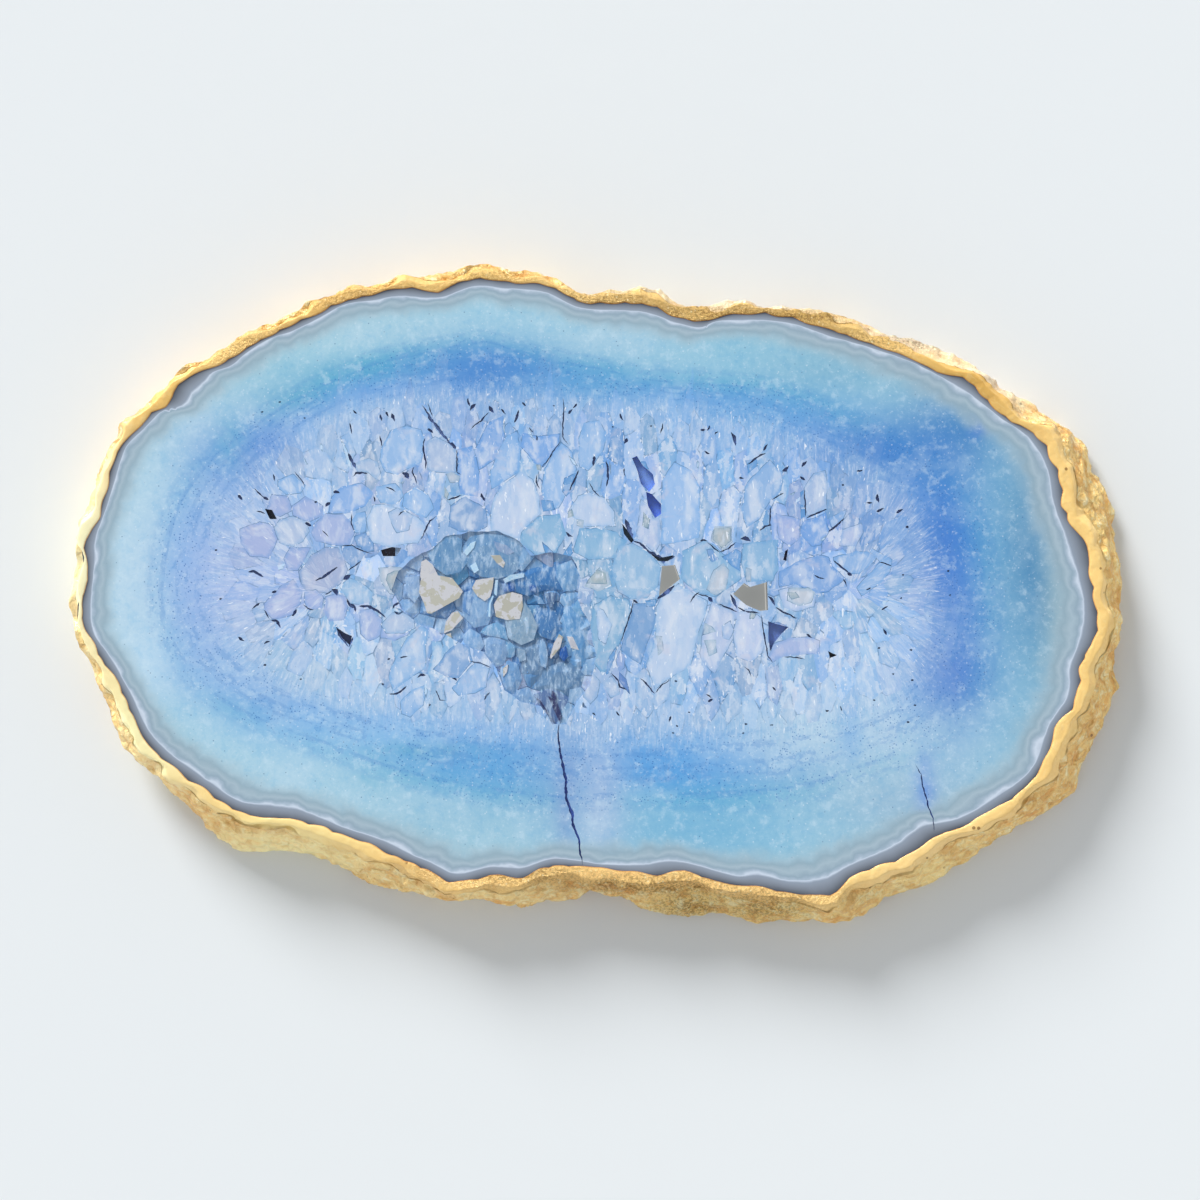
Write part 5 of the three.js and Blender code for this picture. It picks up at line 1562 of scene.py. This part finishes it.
def quartz_look():
    look = Shade("quartz_points")
    spot = look.spot()
    tint, glassy = look.attribute("tint", "Color"), look.attribute("tint", "Alpha")
    veils = look.noise(look.scaled(spot, (1.2, 0.4, 0.6)), 0.7, 4, 0.65, 0.5)
    colour = look.mix(look.map(veils, 0.46, 0.66, 0.0, 0.7), tint, paint(186, 210, 234))
    colour = look.deepen(look.map(veils, 0.48, 0.30, 0.0, 0.7), colour, (0.5, 0.74, 0.9))
    clouds = look.map(look.noise(spot, 1.3, 3, 0.6), 0.50, 0.68, 0.0, 0.5)
    colour = look.deepen(clouds, colour, (0.5, 0.74, 0.92))
    flash = look.noise(look.scaled(spot, (1.2, 0.6, 1.0)), 1.5, 2, 0.5, 0.6)
    colour = look.mix(look.map(flash, 0.66, 0.73, 0.0, 0.6), colour, paint(204, 234, 248))
    # The crystals that were sawn through and show a matt, chalky cut.
    chalk = look.map(look.noise(spot, 0.4, 3, 0.6, 0.3), 0.46, 0.50)
    flecks = look.map(look.noise(spot, 1.6, 2), 0.66, 0.72, 0.0, 0.5)
    matt = look.mix(flecks, look.mix(chalk, tint, paint(198, 200, 206)), paint(150, 150, 148))
    colour = look.mix(glassy, matt, colour)
    look.bump(look.noise(spot, 1.8, 2), 0.12)
    # Painted glow: the glassy crystals give off a little of their own colour, so that they look lit from
    # within.
    look.glow(colour, look.times(glassy, INNER_GLOW))
    return look.finish(colour, 0.14, IOR=QUARTZ_IOR, Transmission_Weight=look.times(glassy, 0.2))


FLOOR_COLOUR = (0.785, 0.823, 0.845)
FLOOR_REACH = 3.0


def lay_floor():
    mesh = bpy.data.meshes.new("floor")
    r = FLOOR_REACH
    mesh.from_pydata([(-r, -r, 0), (r, -r, 0), (r, r, 0), (-r, r, 0)], [], [(0, 1, 2, 3)])
    mesh.materials.append(Shade("pale_floor").finish(FLOOR_COLOUR, 0.9, Specular_IOR_Level=0.0))
    floor = bpy.data.objects.new("floor", mesh)
    bpy.context.scene.collection.objects.link(floor)


# The soft key light: its strength, how wide it is seen, and the height and way it comes from, in degrees.
SUN_STRENGTH, SUN_WIDTH = 3.9, 21.0
SUN_HEIGHT, SUN_WAY = 22.0, 120.0
# The studio's brightness from the horizon, at 0, to overhead, at 1.
SKY = [
    (0.0, (1.7, 1.7, 1.71)), (0.2, (1.1, 1.11, 1.12)), (0.5, (0.55, 0.555, 0.56)), (1.0, (0.38, 0.385, 0.39)),
]
# A bright patch of the studio low on the left, and how near its middle it fades in, as a cosine.
WINDOW_HEIGHT, WINDOW_WAY = 12.0, 205.0
WINDOW_STRENGTH = 0.35
WINDOW_SPAN = (0.75, 0.98)


def toward(height, way):
    """The direction of a light, from its height and its way round, in degrees."""
    height, way = math.radians(height), math.radians(way)
    return Vector((math.cos(way) * math.cos(height), math.sin(way) * math.cos(height), math.sin(height)))


def light_scene():
    sun = bpy.data.lights.new("soft_key", "SUN")
    sun.energy = SUN_STRENGTH
    sun.angle = math.radians(SUN_WIDTH)
    lamp = bpy.data.objects.new("soft_key", sun)
    lamp.rotation_euler = toward(SUN_HEIGHT, SUN_WAY).to_track_quat("Z", "Y").to_euler()
    bpy.context.scene.collection.objects.link(lamp)
    world = bpy.data.worlds.new("studio")
    world.use_nodes = True
    sky = Nodes(world.node_tree)
    direction = sky.make("TexCoord", {}).outputs["Generated"]
    gradient = sky.ramp(sky.split(direction)[2], SKY)
    window = {0: direction, 1: toward(WINDOW_HEIGHT, WINDOW_WAY)}
    facing = sky.make("VectorMath", window, operation="DOT_PRODUCT").outputs["Value"]
    patch = sky.map(facing, *WINDOW_SPAN, 0.0, WINDOW_STRENGTH)
    both = sky.make("VectorMath", {0: gradient, 1: patch}, operation="ADD").outputs[0]
    sky.feed(sky.nodes["Background"].inputs["Color"], both)
    bpy.context.scene.world = world


PICTURE_CENTRE = (600, 600)
CAMERA_LENS = 100.0
CAMERA_HEIGHT = 801.0


def place_camera():
    camera = bpy.data.cameras.new("camera")
    camera.lens = CAMERA_LENS
    made = bpy.data.objects.new("camera", camera)
    x, y = place([PICTURE_CENTRE])[0]
    made.location = (x * METRE, y * METRE, CAMERA_HEIGHT * METRE)
    bpy.context.scene.collection.objects.link(made)
    bpy.context.scene.camera = made


build_stone(stone_look())
build_rim(gilding_look())
build_crust(quartz_look())
lay_floor()
light_scene()
place_camera()
bpy.context.scene.view_settings.view_transform = "Standard"
